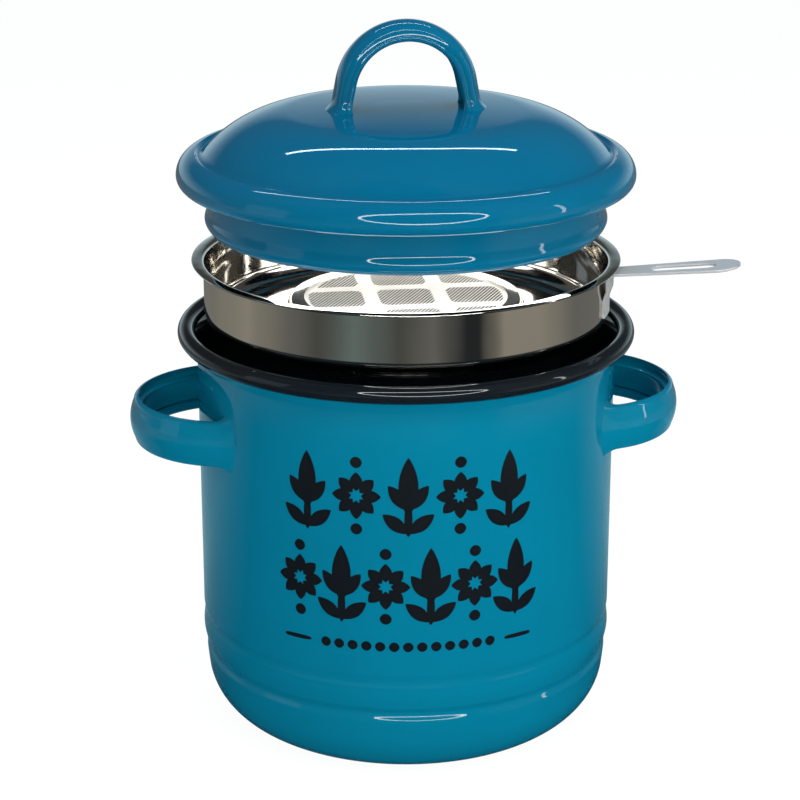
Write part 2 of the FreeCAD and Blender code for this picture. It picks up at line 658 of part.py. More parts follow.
def slot_wire(sizes, across, up, shift, half, limit, rise, drift):
    """One slot, clipped to its field and to the disc's opening, or nothing if it is too short."""
    inside = []
    for number in range(SLOT_STEPS + 1):
        along = (2.0 * number / SLOT_STEPS - 1) * half / rise
        x = shift + along * drift
        y = along * rise
        clear = math.hypot(across + x, up + y) + sizes.mesh_slot / 2 < limit
        if abs(x) + sizes.mesh_slot / 2 < half and clear:
            inside.append(along)
    if not inside or inside[-1] - inside[0] < 2 * sizes.mesh_slot:
        return None
    half_width = sizes.mesh_slot / 2
    corners = []
    for along, side in ((inside[0], -1), (inside[-1], -1), (inside[-1], 1), (inside[0], 1)):
        x = across + shift + along * drift + side * half_width
        y = up + along * rise
        corners.append(FreeCAD.Vector(x, y, 0))
    return Part.makePolygon(corners + corners[:1])


def strainer_mesh(doc, sizes, fits):
    """The perforated disc under the pan's opening, as one face with holes."""
    disc = doc.addObject("Part::Feature", "strainer_mesh")
    edge = Part.makeCircle(sizes.drain_radius + sizes.mesh_overlap)
    face = Part.Face([Part.Wire(edge)] + slot_wires(sizes))
    face.validate()
    disc.Shape = face.extrude(FreeCAD.Vector(0, 0, -sizes.mesh_thickness))
    seat = -sizes.pan_depth + sizes.plateau_rise
    height = fits.strainer_height + seat
    disc.Placement = FreeCAD.Placement(FreeCAD.Vector(0, 0, height), FreeCAD.Rotation())
    return disc


def strainer_handle(doc):
    """The strainer's handle: a slotted strip with a leg down the pan's wall."""
    sheet = "Sizes.strip_thickness"
    leg = new_body(doc, "leg_blank")
    stand = "Fits.pan_radius + Sizes.leg_gap"
    low = "-1 * Sizes.leg_stand"
    joggle = low + " - Sizes.leg_joggle"
    end = joggle + " - Sizes.leg_foot"
    side = Outline(leg, "leg_section")
    side.start(stand, "0")
    side.line(stand, low)
    side.line("Fits.pan_radius", joggle)
    side.line("Fits.pan_radius", end)
    side.line("Fits.pan_radius + " + sheet, end)
    side.line("Fits.pan_radius + " + sheet, joggle)
    side.line(stand + " + " + sheet, low)
    side.line(stand + " + " + sheet, "-1 * " + sheet)
    side.line("Fits.flange_radius", "-1 * " + sheet)
    side.line("Fits.flange_radius", "0")
    bend = turned(leg, side.close(), "leg_turn")
    bend.Midplane = True
    bend.setExpression("Angle", "2 * asin(Sizes.strip_root_width / 2 / ({}))".format(stand))
    strip = new_body(doc, "strip_blank")
    run = "(Sizes.strip_reach - Fits.flange_radius)"
    rise = run + " * tan(Sizes.strip_tilt * 1deg)"
    bar = Outline(strip, "strip_section")
    bar.start(stand, "0")
    bar.line(stand, "-1 * " + sheet)
    bar.line("Fits.flange_radius", "-1 * " + sheet)
    bar.line("Sizes.strip_reach", "{} - {}".format(rise, sheet))
    bar.line("Sizes.strip_reach", rise)
    bar.line("Fits.flange_radius", "0")
    sweep = strip.newObject("PartDesign::Pad", "strip_width")
    sweep.Profile = bar.close()
    sweep.Midplane = True
    sweep.setExpression("Length", "Sizes.strip_tip_width")
    plan = strip_plan(doc, stand)
    trimmed = doc.addObject("Part::Common", "strip_trimmed")
    trimmed.Base = strip
    trimmed.Tool = plan
    joined = doc.addObject("Part::Fuse", "strip_joined")
    joined.Base = trimmed
    joined.Tool = leg
    joined.Refine = True
    handle = cut(doc, "strainer_handle", joined, slot_tool(doc))
    handle.setExpression("Placement.Base.z", "Fits.strainer_height - Sizes.pan_thickness")
    handle.setExpression("Placement.Rotation.Angle", "Sizes.strip_turn")
    return handle


def strip_plan(doc, root):
    """The strip seen from above: a taper that widens to a round tip."""
    body = new_body(doc, "strip_plan")
    narrow = "Sizes.strip_root_width / 2"
    wide = "Sizes.strip_tip_width / 2"
    shoulder = "Sizes.strip_reach - " + wide
    plan = Outline(body, "plan_outline", "XY_Plane", "-1 * Sizes.strip_reach")
    plan.start(root, "-1 * " + narrow)
    plan.line(shoulder, "-1 * " + wide)
    plan.arc("Sizes.strip_reach", "0", wide, 1)
    plan.arc(shoulder, wide, wide, 1)
    plan.line(root, narrow)
    block = body.newObject("PartDesign::Pad", "plan_block")
    block.Profile = plan.close()
    block.setExpression("Length", "2 * Sizes.strip_reach")
    return body


def slot_tool(doc):
    """The tool that cuts the hanging slot."""
    body = new_body(doc, "slot_tool")
    half = "Sizes.slot_width / 2"
    outer = "Sizes.strip_reach - Sizes.slot_margin"
    inner = outer + " - Sizes.slot_length"
    slot = Outline(body, "slot_outline", "XY_Plane", "-1 * Sizes.strip_reach")
    slot.start("{} + {}".format(inner, half), "-1 * " + half)
    slot.line(minus(outer, half), "-1 * " + half)
    slot.arc(outer, "0", half, 1)
    slot.arc(minus(outer, half), half, half, 1)
    slot.line("{} + {}".format(inner, half), half)
    slot.arc(inner, "0", half, 1)
    slot.arc("{} + {}".format(inner, half), "-1 * " + half, half, 1)
    block = body.newObject("PartDesign::Pad", "slot_block")
    block.Profile = slot.sketch
    block.setExpression("Length", "2 * Sizes.strip_reach")
    return body


def make_sheets(doc):
    """The driving dimensions, and the sizes that follow from them."""
    sizes = doc.addObject("Spreadsheet::Sheet", "Sizes")
    for row, (alias, value, note) in enumerate(SIZES, start=1):
        sizes.set("A{}".format(row), note)
        sizes.set("B{}".format(row), str(value))
        sizes.setAlias("B{}".format(row), alias)
    doc.recompute()
    fits = doc.addObject("Spreadsheet::Sheet", "Fits")
    for row, (alias, formula) in enumerate(FITS, start=1):
        fits.set("A{}".format(row), alias.replace("_", " "))
        fits.setAlias("B{}".format(row), alias)
        fits.set("B{}".format(row), "=" + formula)
    doc.recompute()
    return sizes, fits


def make_pot(doc):
    """The pot: steel shell, black lining, rolled rim, two loop handles and their fillets."""
    skin = "Sizes.shell_thickness"
    pieces = [
        pot_layer(doc, "pot_shell", "0", skin),
        pot_layer(doc, "pot_lining", skin, skin + " + Sizes.lining_thickness"),
        rim_roll(doc),
    ]
    core = bound(doc, "Part::Cylinder", "wall_core", Radius="Sizes.wall_radius",
                 Height="Sizes.rim_height")
    half_turn = FreeCAD.Rotation(FreeCAD.Vector(0, 0, 1), 180)
    for side in ("right", "left"):
        blank = side_handle_blank(doc, "band_" + side)
        handle = cut(doc, "handle_" + side, blank, core)
        low = side_weld_blank(doc, "weld_front_" + side, "-1 * ")
        high = side_weld_blank(doc, "weld_back_" + side, "")
        group = welds(doc, "handle_fillets_" + side, low, high, core, blank)
        if side == "left":
            handle.Placement.Rotation = half_turn
            group.Placement.Rotation = half_turn
        pieces += [handle, group]
    return pieces


def make_lid(doc):
    """The lid: pressing, collar, black lining, bow handle and its fillets."""
    space = under_lid(doc, "lid_space", "Sizes.lid_thickness")
    core = lid_solid(doc, "lid_core", "0")
    blank = bow_blank(doc, "bow_blank")
    left = bow_weld_blank(doc, "weld_left", "-1 * ")
    right = bow_weld_blank(doc, "weld_right", "")
    pieces = [
        lid_shell(doc),
        lid_collar(doc, space),
        lid_lining(doc, space),
        cut(doc, "lid_handle", blank, core),
        welds(doc, "lid_handle_fillets", left, right, core, blank),
    ]
    for piece in pieces:
        piece.setExpression("Placement.Base.z", "Fits.lid_base")
    return pieces


def check(doc, pieces):
    """Stop if anything in the document failed, or a piece isn't a sound solid."""
    for item in doc.Objects:
        if "Invalid" in item.State or "Error" in item.State:
            raise RuntimeError("{} failed: {}".format(item.Name, item.State))
    for piece in pieces:
        shape = piece.Shape
        if shape.isNull() or not shape.isValid() or not shape.Solids:
            raise RuntimeError("{} has no sound solid".format(piece.Label))


def main():
    """Build every piece and write its file."""
    doc = FreeCAD.newDocument("grease_pot")
    sizes, fits = make_sheets(doc)
    pot = make_pot(doc)
    lid = make_lid(doc)
    strainer = [strainer_pan(doc), strainer_mesh(doc, sizes, fits), strainer_handle(doc)]
    doc.recompute()
    pieces = pot + strainer + lid
    check(doc, pieces)
    os.makedirs("parts", exist_ok=True)
    for piece in pieces:
        piece.Shape.exportStep("parts/{}.step".format(piece.Label))
        print("{:22s} volume {:9.1f} mm3, solids {}".format(
            piece.Label, piece.Shape.Volume, len(piece.Shape.Solids)))


main()
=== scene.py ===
"""Look of the enamelled grease pot, its strainer and its lid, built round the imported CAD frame.

Lengths in the dataclasses are millimetres in the row frame; meshes are made in metres.
"""

import logging
import math
from dataclasses import dataclass, field
from enum import Enum
from typing import Optional, Sequence

import bpy
from mathutils import Matrix, Vector

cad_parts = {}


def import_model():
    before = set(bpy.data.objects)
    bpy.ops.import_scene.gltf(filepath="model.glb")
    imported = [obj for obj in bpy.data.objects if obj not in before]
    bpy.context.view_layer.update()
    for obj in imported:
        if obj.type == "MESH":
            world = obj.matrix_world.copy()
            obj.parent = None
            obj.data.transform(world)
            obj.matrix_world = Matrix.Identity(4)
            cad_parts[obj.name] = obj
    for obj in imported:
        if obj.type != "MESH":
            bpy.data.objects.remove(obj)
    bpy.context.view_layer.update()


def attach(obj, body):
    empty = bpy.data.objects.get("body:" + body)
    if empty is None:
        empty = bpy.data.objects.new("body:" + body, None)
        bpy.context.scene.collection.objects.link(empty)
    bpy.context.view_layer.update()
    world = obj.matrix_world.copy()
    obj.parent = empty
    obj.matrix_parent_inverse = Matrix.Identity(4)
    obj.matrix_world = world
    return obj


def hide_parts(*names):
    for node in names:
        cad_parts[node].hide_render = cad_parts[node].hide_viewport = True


LOG = logging.getLogger("grease_pot")
MM = 0.001

Point = tuple[float, float]
Point3 = tuple[float, float, float]


class Body(Enum):
    """The CAD bodies that the pieces ride on."""

    POT = "pot"
    STRAINER = "strainer"
    LID = "lid"


class Slot(Enum):
    """The record's material slots."""

    BLUE = "blue_enamel"
    BLACK = "black_enamel"
    POLISHED = "polished_steel"
    PERFORATED = "perforated_steel"
    SATIN = "satin_steel"


def linear(hex_colour: str) -> tuple[float, float, float, float]:
    """Turn an sRGB hex colour into linear light.

    Args:
        hex_colour: Six hex digits, with or without a leading hash.

    Returns:
        Linear red, green, blue and an alpha of one.
    """
    digits = hex_colour.lstrip("#")
    channels = [int(digits[i : i + 2], 16) / 255 for i in (0, 2, 4)]
    red, green, blue = (c / 12.92 if c <= 0.04045 else ((c + 0.055) / 1.055) ** 2.4
                        for c in channels)
    return (red, green, blue, 1.0)


@dataclass
class Profile:
    """A turned section: points of radius and height in millimetres."""

    points: list[Point] = field(default_factory=list)

    def to(self, radius: float, height: float) -> "Profile":
        """Add a straight run.

        Args:
            radius: Radius of the next corner.
            height: Height of the next corner.

        Returns:
            This profile.
        """
        self.points.append((radius, height))
        return self

    def arc(self, radius: float, height: float, size: float, turn: int,
            steps: int = 12) -> "Profile":
        """Add an arc of under half a circle.

        Args:
            radius: Radius of the arc's far end.
            height: Height of the arc's far end.
            size: The arc's own radius.
            turn: 1 for anticlockwise with radius to the right and height up, -1 for clockwise.
            steps: Number of straight pieces.

        Returns:
            This profile.
        """
        ax, ay = self.points[-1]
        chord = Vector((radius - ax, height - ay))
        normal = Vector((-chord.y, chord.x)).normalized()
        reach = math.sqrt(max(size * size - chord.length_squared / 4, 0.0))
        centre = Vector((ax, ay)) + chord / 2 + normal * reach * turn
        first = math.atan2(ay - centre.y, ax - centre.x)
        last = math.atan2(height - centre.y, radius - centre.x)
        span = (last - first) % math.tau if turn > 0 else -((first - last) % math.tau)
        for i in range(1, steps + 1):
            angle = first + span * i / steps
            self.points.append((centre.x + size * math.cos(angle),
                                centre.y + size * math.sin(angle)))
        return self


def new_mesh(name: str, verts: Sequence[Point3], faces: Sequence[Sequence[int]],
             sharp: float = 35.0) -> bpy.types.Object:
    """Make a smooth-shaded mesh object.

    Args:
        name: Name of the piece.
        verts: Corners in millimetres.
        faces: Corner numbers of each face.
        sharp: Edges that turn by more than this many degrees stay sharp.

    Returns:
        The linked object.
    """
    mesh = bpy.data.meshes.new(name)
    mesh.from_pydata([(x * MM, y * MM, z * MM) for x, y, z in verts], [], faces)
    mesh.validate()
    mesh.shade_smooth()
    mesh.set_sharp_from_angle(angle=math.radians(sharp))
    obj = bpy.data.objects.new(name, mesh)
    bpy.context.scene.collection.objects.link(obj)
    return obj


def turned(name: str, section: Profile, segments: int = 256, closed: bool = True,
           lift: float = 0.0, sharp: float = 35.0) -> bpy.types.Object:
    """Turn a section round the upright axis.

    Args:
        name: Name of the piece.
        section: The section, anticlockwise for faces that look outwards.
        segments: Steps round the axis.
        closed: Whether the section joins back to its first point.
        lift: Height added to the whole section.
        sharp: Crease angle in degrees.

    Returns:
        The piece.
    """
    verts: list[Point3] = []
    rings: list[list[int]] = []
    for radius, height in section.points:
        if radius < 1e-6:
            verts.append((0.0, 0.0, height + lift))
            rings.append([len(verts) - 1])
            continue
        first = len(verts)
        for i in range(segments):
            angle = math.tau * i / segments
            verts.append((radius * math.cos(angle), radius * math.sin(angle), height + lift))
        rings.append(list(range(first, first + segments)))
    pairs = list(zip(rings, rings[1:]))
    if closed:
        pairs.append((rings[-1], rings[0]))
    faces: list[list[int]] = []
    for low, high in pairs:
        for i in range(segments):
            j = (i + 1) % segments
            a, b = (low[i], low[j]) if len(low) > 1 else (low[0], low[0])
            c, d = (high[j], high[i]) if len(high) > 1 else (high[0], high[0])
            face = list(dict.fromkeys((a, b, c, d)))
            if len(face) > 2:
                faces.append(face)
    return new_mesh(name, verts, faces, sharp)


def swept(name: str, rings: Sequence[Sequence[Point3]], sharp: float = 50.0) -> bpy.types.Object:
    """Skin a tube through rings of matching points, with flat ends.

    Args:
        name: Name of the piece.
        rings: Each ring's corners in millimetres, in the same order.
        sharp: Crease angle in degrees.

    Returns:
        The piece.
    """
    count = len(rings[0])
    verts = [point for ring in rings for point in ring]
    faces: list[list[int]] = []
    for k in range(len(rings) - 1):
        for i in range(count):
            j = (i + 1) % count
            faces.append([k * count + i, k * count + j, (k + 1) * count + j, (k + 1) * count + i])
    faces.append(list(range(count))[::-1])
    faces.append([(len(rings) - 1) * count + i for i in range(count)])
    return new_mesh(name, verts, faces, sharp)


def plate(name: str, outlines: Sequence[Sequence[Point]], thickness: float,
          bevel: float = 0.0) -> bpy.types.Object:
    """A flat plate from an outer outline and any holes, centred on its own middle plane.

    Args:
        name: Name of the piece.
        outlines: Closed outlines in millimetres, the outer one first.
        thickness: Thickness of the plate.
        bevel: Rounding of its edges.

    Returns:
        The piece as a mesh object.
    """
    curve = bpy.data.curves.new(name, "CURVE")
    curve.dimensions = "2D"
    curve.fill_mode = "BOTH"
    curve.extrude = (thickness / 2 - bevel) * MM
    curve.bevel_depth = bevel * MM
    curve.bevel_resolution = 2
    curve.offset = -bevel * MM
    for outline in outlines:
        spline = curve.splines.new("POLY")
        spline.points.add(len(outline) - 1)
        for point, (x, y) in zip(spline.points, outline):
            point.co = (x * MM, y * MM, 0.0, 1.0)
        spline.use_cyclic_u = True
    holder = bpy.data.objects.new(name + "_curve", curve)
    bpy.context.scene.collection.objects.link(holder)
    depsgraph = bpy.context.evaluated_depsgraph_get()
    mesh = bpy.data.meshes.new_from_object(holder.evaluated_get(depsgraph))
    mesh.name = name
    bpy.data.objects.remove(holder)
    mesh.shade_smooth()
    mesh.set_sharp_from_angle(angle=math.radians(35))
    obj = bpy.data.objects.new(name, mesh)
    bpy.context.scene.collection.objects.link(obj)
    return obj


def add_node(tree: bpy.types.NodeTree, kind: str, inputs: Optional[dict] = None,
             **settings: object) -> bpy.types.Node:
    """Add one shader node and set or link its sockets.

    Args:
        tree: The material's node tree.
        kind: The node's class name.
        inputs: Socket name or number to a value, or to another node's output.
        settings: Node properties.

    Returns:
        The node.
    """
    node = tree.nodes.new(kind)
    for key, value in settings.items():
        setattr(node, key, value)
    for key, value in (inputs or {}).items():
        if isinstance(value, bpy.types.NodeSocket):
            tree.links.new(value, node.inputs[key])
        else:
            node.inputs[key].default_value = value
    return node


def clear_tree(owner: object) -> bpy.types.NodeTree:
    """Switch on a material's or world's nodes, with none in it yet.

    Args:
        owner: The material or world.

    Returns:
        Its node tree.
    """
    owner.use_nodes = True
    owner.node_tree.nodes.clear()
    return owner.node_tree


def blend(tree: bpy.types.NodeTree, share: object, under: object,
          over: object) -> bpy.types.NodeSocket:
    """Mix two colours.

    Args:
        tree: The node tree.
        share: How much of the second colour.
        under: The first colour.
        over: The second colour.

    Returns:
        The mixed colour.
    """
    return add_node(tree, "ShaderNodeMix", {0: share, 6: under, 7: over},
                    data_type="RGBA").outputs[2]


def layer(tree: bpy.types.NodeTree, share: object, under: object,
          over: object) -> bpy.types.NodeSocket:
    """Mix two shaders.

    Args:
        tree: The node tree.
        share: How much of the second shader.
        under: The first shader.
        over: The second shader.

    Returns:
        The mixed shader.
    """
    return add_node(tree, "ShaderNodeMixShader", {0: share, 1: under, 2: over}).outputs[0]


def fade(tree: bpy.types.NodeTree, value: object, ends: Point) -> bpy.types.NodeSocket:
    """Rise from nought to one.

    Args:
        tree: The node tree.
        value: What is measured.
        ends: The values that give nought and one.

    Returns:
        The share.
    """
    return add_node(tree, "ShaderNodeMapRange", {"Value": value, "From Min": ends[0],
                                                 "From Max": ends[1]}).outputs[0]


def maths(tree: bpy.types.NodeTree, operation: str, *values: object) -> bpy.types.NodeSocket:
    """Work out one sum.

    Args:
        tree: The node tree.
        operation: The sum's name.
        values: Its numbers or sockets.

    Returns:
        The result.
    """
    return add_node(tree, "ShaderNodeMath", dict(enumerate(values)), operation=operation).outputs[0]


@dataclass(frozen=True)
class Finish:
    """A surface: its colours, gloss and fine relief in real millimetres."""

    name: str
    colour: str
    shade: str
    roughness: float
    metallic: float = 0.0
    specular: float = 0.5
    mottle_mm: float = 40.0
    ripple_mm: float = 3.0
    ripple_height_mm: float = 0.004


class Finishes:
    """Builds each procedural material once."""

    def __init__(self) -> None:
        self.made: dict[str, bpy.types.Material] = {}

    def base(self, finish: Finish) -> tuple[bpy.types.Material, bpy.types.Node]:
        """Start a material: mottled colour, slow ripple and gloss.

        Args:
            finish: The surface.

        Returns:
            The material and its shader node.
        """
        material = bpy.data.materials.new(finish.name)
        tree = clear_tree(material)
        place = add_node(tree, "ShaderNodeTexCoord").outputs["Object"]
        mottle = add_node(tree, "ShaderNodeTexNoise",
                          {"Vector": place, "Scale": 1 / (finish.mottle_mm * MM), "Detail": 2.0})
        mix = add_node(tree, "ShaderNodeMix", {"Factor": mottle.outputs["Fac"]}, data_type="RGBA")
        mix.inputs["A"].default_value = linear(finish.colour)
        mix.inputs["B"].default_value = linear(finish.shade)
        ripple = add_node(tree, "ShaderNodeTexNoise",
                          {"Vector": place, "Scale": 1 / (finish.ripple_mm * MM), "Detail": 1.5})
        bump = add_node(tree, "ShaderNodeBump", {"Height": ripple.outputs["Fac"],
                                                 "Distance": finish.ripple_height_mm * MM,
                                                 "Strength": 1.0})
        shader = add_node(tree, "ShaderNodeBsdfPrincipled", {
            "Base Color": mix.outputs["Result"],
            "Roughness": finish.roughness,
            "Metallic": finish.metallic,
            "Specular IOR Level": finish.specular,
            "Normal": bump.outputs["Normal"],
        })
        add_node(tree, "ShaderNodeOutputMaterial", {"Surface": shader.outputs["BSDF"]})
        self.made[finish.name] = material
        return material, shader

    def plain(self, finish: Finish) -> bpy.types.Material:
        """A material with no extra pattern.

        Args:
            finish: The surface.

        Returns:
            The material, made once.
        """
        return self.made.get(finish.name) or self.base(finish)[0]


# Glassy fired enamel: deep teal blue that pools slightly darker where it ran thick.
BLUE_ENAMEL = Finish("Steel_fired_blue_enamel", "#047893", "#036f89", 0.035, specular=0.42,
                     ripple_mm=9.0, ripple_height_mm=0.010)
# The pot's same blue enamel, darkened and made bluer as painted shade: the lid, its collar and its
# bow stand in dimmer light than the pot's wall.
LID_ENAMEL_PAINTED_SHADE = Finish("Steel_fired_blue_enamel_painted_shade", "#046787", "#035f7e", 0.035, specular=0.42,
                    ripple_mm=9.0, ripple_height_mm=0.010)
# The same enamel in near-black, on the rim and inside: only its highlights show.
BLACK_ENAMEL = Finish("Steel_fired_black_enamel", "#161d22", "#0e1318", 0.05, ripple_mm=6.0,
                      ripple_height_mm=0.012)
# Bright pressed sheet: mirror-like with slow waves from the press.
POLISHED_STEEL = Finish("Stainless_pressed_polished", "#d6d3cd", "#cbc7c0", 0.07, metallic=1.0,
                        ripple_mm=14.0, ripple_height_mm=0.10)
# Perforated sheet: a little duller than the pan round it.
PERFORATED_STEEL = Finish("Stainless_perforated", "#dedcd8", "#d2d0cb", 0.3, metallic=1.0,
                          ripple_mm=6.0, ripple_height_mm=0.01)
# Flat strip with a fine tumbled satin, evenly grey.
SATIN_STEEL = Finish("Stainless_tumbled_satin", "#d2d1ce", "#c6c5c2", 0.42, metallic=0.35,
                     ripple_mm=1.2, ripple_height_mm=0.004)
# Screen-printed black on the pot's front, fired into the enamel.
BLACK_PRINT = Finish("Ink_fired_black_print", "#0e1216", "#14191e", 0.2, ripple_mm=4.0,
                     ripple_height_mm=0.004)


@dataclass(frozen=True)
class PotSizes:
    """The pot's sizes, as in the CAD sheet."""

    rim_height: float = 121.0
    rim_centre_radius: float = 65.3
    rim_bead_radius: float = 2.59
    wall_radius: float = 62.2
    neck_drop: float = 6.5
    base_corner: float = 17.6
    corner_sweep: float = 80.0
    foot_draw: float = 1.3
    shell: float = 0.8
    lining: float = 0.3
    groove_depth: float = 0.9
    groove_width: float = 5.0
    groove_margin: float = 5.8
    groove_pitch: float = 10.4
    groove_count: int = 2
    bead_swell: float = 0.3
    upper_groove_share: float = 0.45
    base_flat: float = 30.0
    wall_step: float = 20.0


@dataclass
class Pot:
    """The pot's shell, lining and rolled rim."""

    finishes: Finishes
    size: PotSizes = PotSizes()

    def wall(self, skin: float) -> Profile:
        """The wall's section at a depth below its outer face.

        Args:
            skin: Depth below the outer face.

        Returns:
            The section from the middle of the base to the rim.
        """
        s = self.size
        edge = s.wall_radius - skin
        sweep = math.radians(s.corner_sweep)
        toe = s.wall_radius - s.foot_draw - s.base_corner * math.sin(sweep)
        top = self.corner_top()
        bend = s.base_corner - skin
        reach = math.sqrt(bend**2 - (s.base_corner - top) ** 2)
        section = Profile([(0.0, skin)]).to(s.base_flat, skin).to(toe, skin)
        section.arc(toe + reach, top, bend, 1, 24)
        low = top + s.groove_margin
        for i in range(1, 8):
            height = top + (low - top) * i / 8
            section.to(self.foot(height) - skin, height)
        for number in range(s.groove_count):
            bottom = low + number * s.groove_pitch
            share = s.upper_groove_share if number else 1.0
            self.groove(section, skin, bottom, s.groove_depth * share)
            if number < s.groove_count - 1:
                self.swell(section, skin, bottom + s.groove_width, bottom + s.groove_pitch)
        section.to(edge, s.rim_height - s.neck_drop - s.wall_step)
        section.to(edge, s.rim_height - s.neck_drop)
        spread = s.rim_centre_radius - s.wall_radius
        neck = (s.neck_drop**2 + spread**2) / (2 * spread)
        mouth = s.wall_radius + neck - math.sqrt((neck + skin) ** 2 - s.neck_drop**2)
        section.arc(mouth, s.rim_height, neck + skin, -1, 12)
        return section

    def corner_top(self) -> float:
        """Height at which the base's rounding passes into the wall.

        Returns:
            Height above the base.
        """
        return self.size.base_corner * (1 - math.cos(math.radians(self.size.corner_sweep)))

    def foot(self, height: float) -> float:
        """The drawn-in wall's radius between the corner and the top groove.

        Args:
            height: Height above the base.

        Returns:
            Radius of the outer face.
        """
        s = self.size
        top = self.corner_top()
        high = top + s.groove_margin + (s.groove_count - 1) * s.groove_pitch + s.groove_width
        share = min(max((high - height) / (high - top), 0.0), 1.0)
        return s.wall_radius - s.foot_draw * share**2

    def groove(self, section: Profile, skin: float, bottom: float, sink: float) -> None:
        """Press one groove with softly rounded lips.

        Args:
            section: The section to add to.
            skin: Depth below the outer face.
            bottom: Lower edge of the groove.
            sink: The groove's depth.
        """
        s = self.size
        steps = 20
        for i in range(steps + 1):
            t = i / steps
            height = bottom + t * s.groove_width
            depth = sink * (0.5 - 0.5 * math.cos(math.tau * t)) ** 0.9
            section.to(self.foot(height) - skin - depth, height)

    def swell(self, section: Profile, skin: float, low: float, high: float) -> None:
        """Round the bead between two grooves.

        Args:
            section: The section to add to.
            skin: Depth below the outer face.
            low: Upper edge of the groove below.
            high: Lower edge of the groove above.
        """
        steps = 14
        for i in range(1, steps):
            t = i / steps
            height = low + t * (high - low)
            rise = self.size.bead_swell * math.sin(math.pi * t)
            section.to(self.foot(height) - skin + rise, height)

    def build(self) -> list[bpy.types.Object]:
        """Make the pot's turned pieces.

        Returns:
            Shell, lining and rim.
        """
        s = self.size
        outer = self.wall(0.0)
        inner = self.wall(s.shell)
        shell = turned("shell", Profile(outer.points + inner.points[::-1]))
        lining_in = self.wall(s.shell + s.lining)
        lining = turned("lining", Profile(inner.points + lining_in.points[::-1]))
        bead = Profile()
        for i in range(36):
            angle = math.tau * i / 36
            bead.to(s.rim_centre_radius + s.rim_bead_radius * math.cos(angle),
                    s.rim_height + s.rim_bead_radius * math.sin(angle))
        rim = turned("rim", bead)
        for obj, node, slot_name, finish in (
            (shell, "pot_shell", Slot.BLUE, BLUE_ENAMEL),
            (lining, "pot_lining", Slot.BLACK, BLACK_ENAMEL),
            (rim, "rim_roll", Slot.BLACK, BLACK_ENAMEL),
        ):
            dress(obj, self.finishes.plain(finish), slot_name, Body.POT, node)
        return [shell, lining, rim]


def dress(obj: bpy.types.Object, material: bpy.types.Material, slot_name: Slot, body: Body,
          *nodes: str) -> bpy.types.Object:
    """Give a piece its material and body, and let it stand for CAD nodes.

    Args:
        obj: The piece.
        material: Its material.
        slot_name: The record's slot; not used.
        body: The CAD body it rides on.
        nodes: CAD nodes that it stands for.

    Returns:
        The piece.
    """
    obj.data.materials.clear()
    obj.data.materials.append(material)
    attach(obj, body.value)
    if nodes:
        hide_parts(*nodes)
    return obj


@dataclass(frozen=True)
class SideHandleSizes:
    """The loop handles on the pot's sides."""

    height: float = 95.7
    radius: float = 30.2
    middle: float = 52.5
    band: float = 13.8
    edge: float = 1.5
    crown: float = 1.2
    recess: float = 1.6
    flare: float = 2.0
    flare_length: float = 4.5


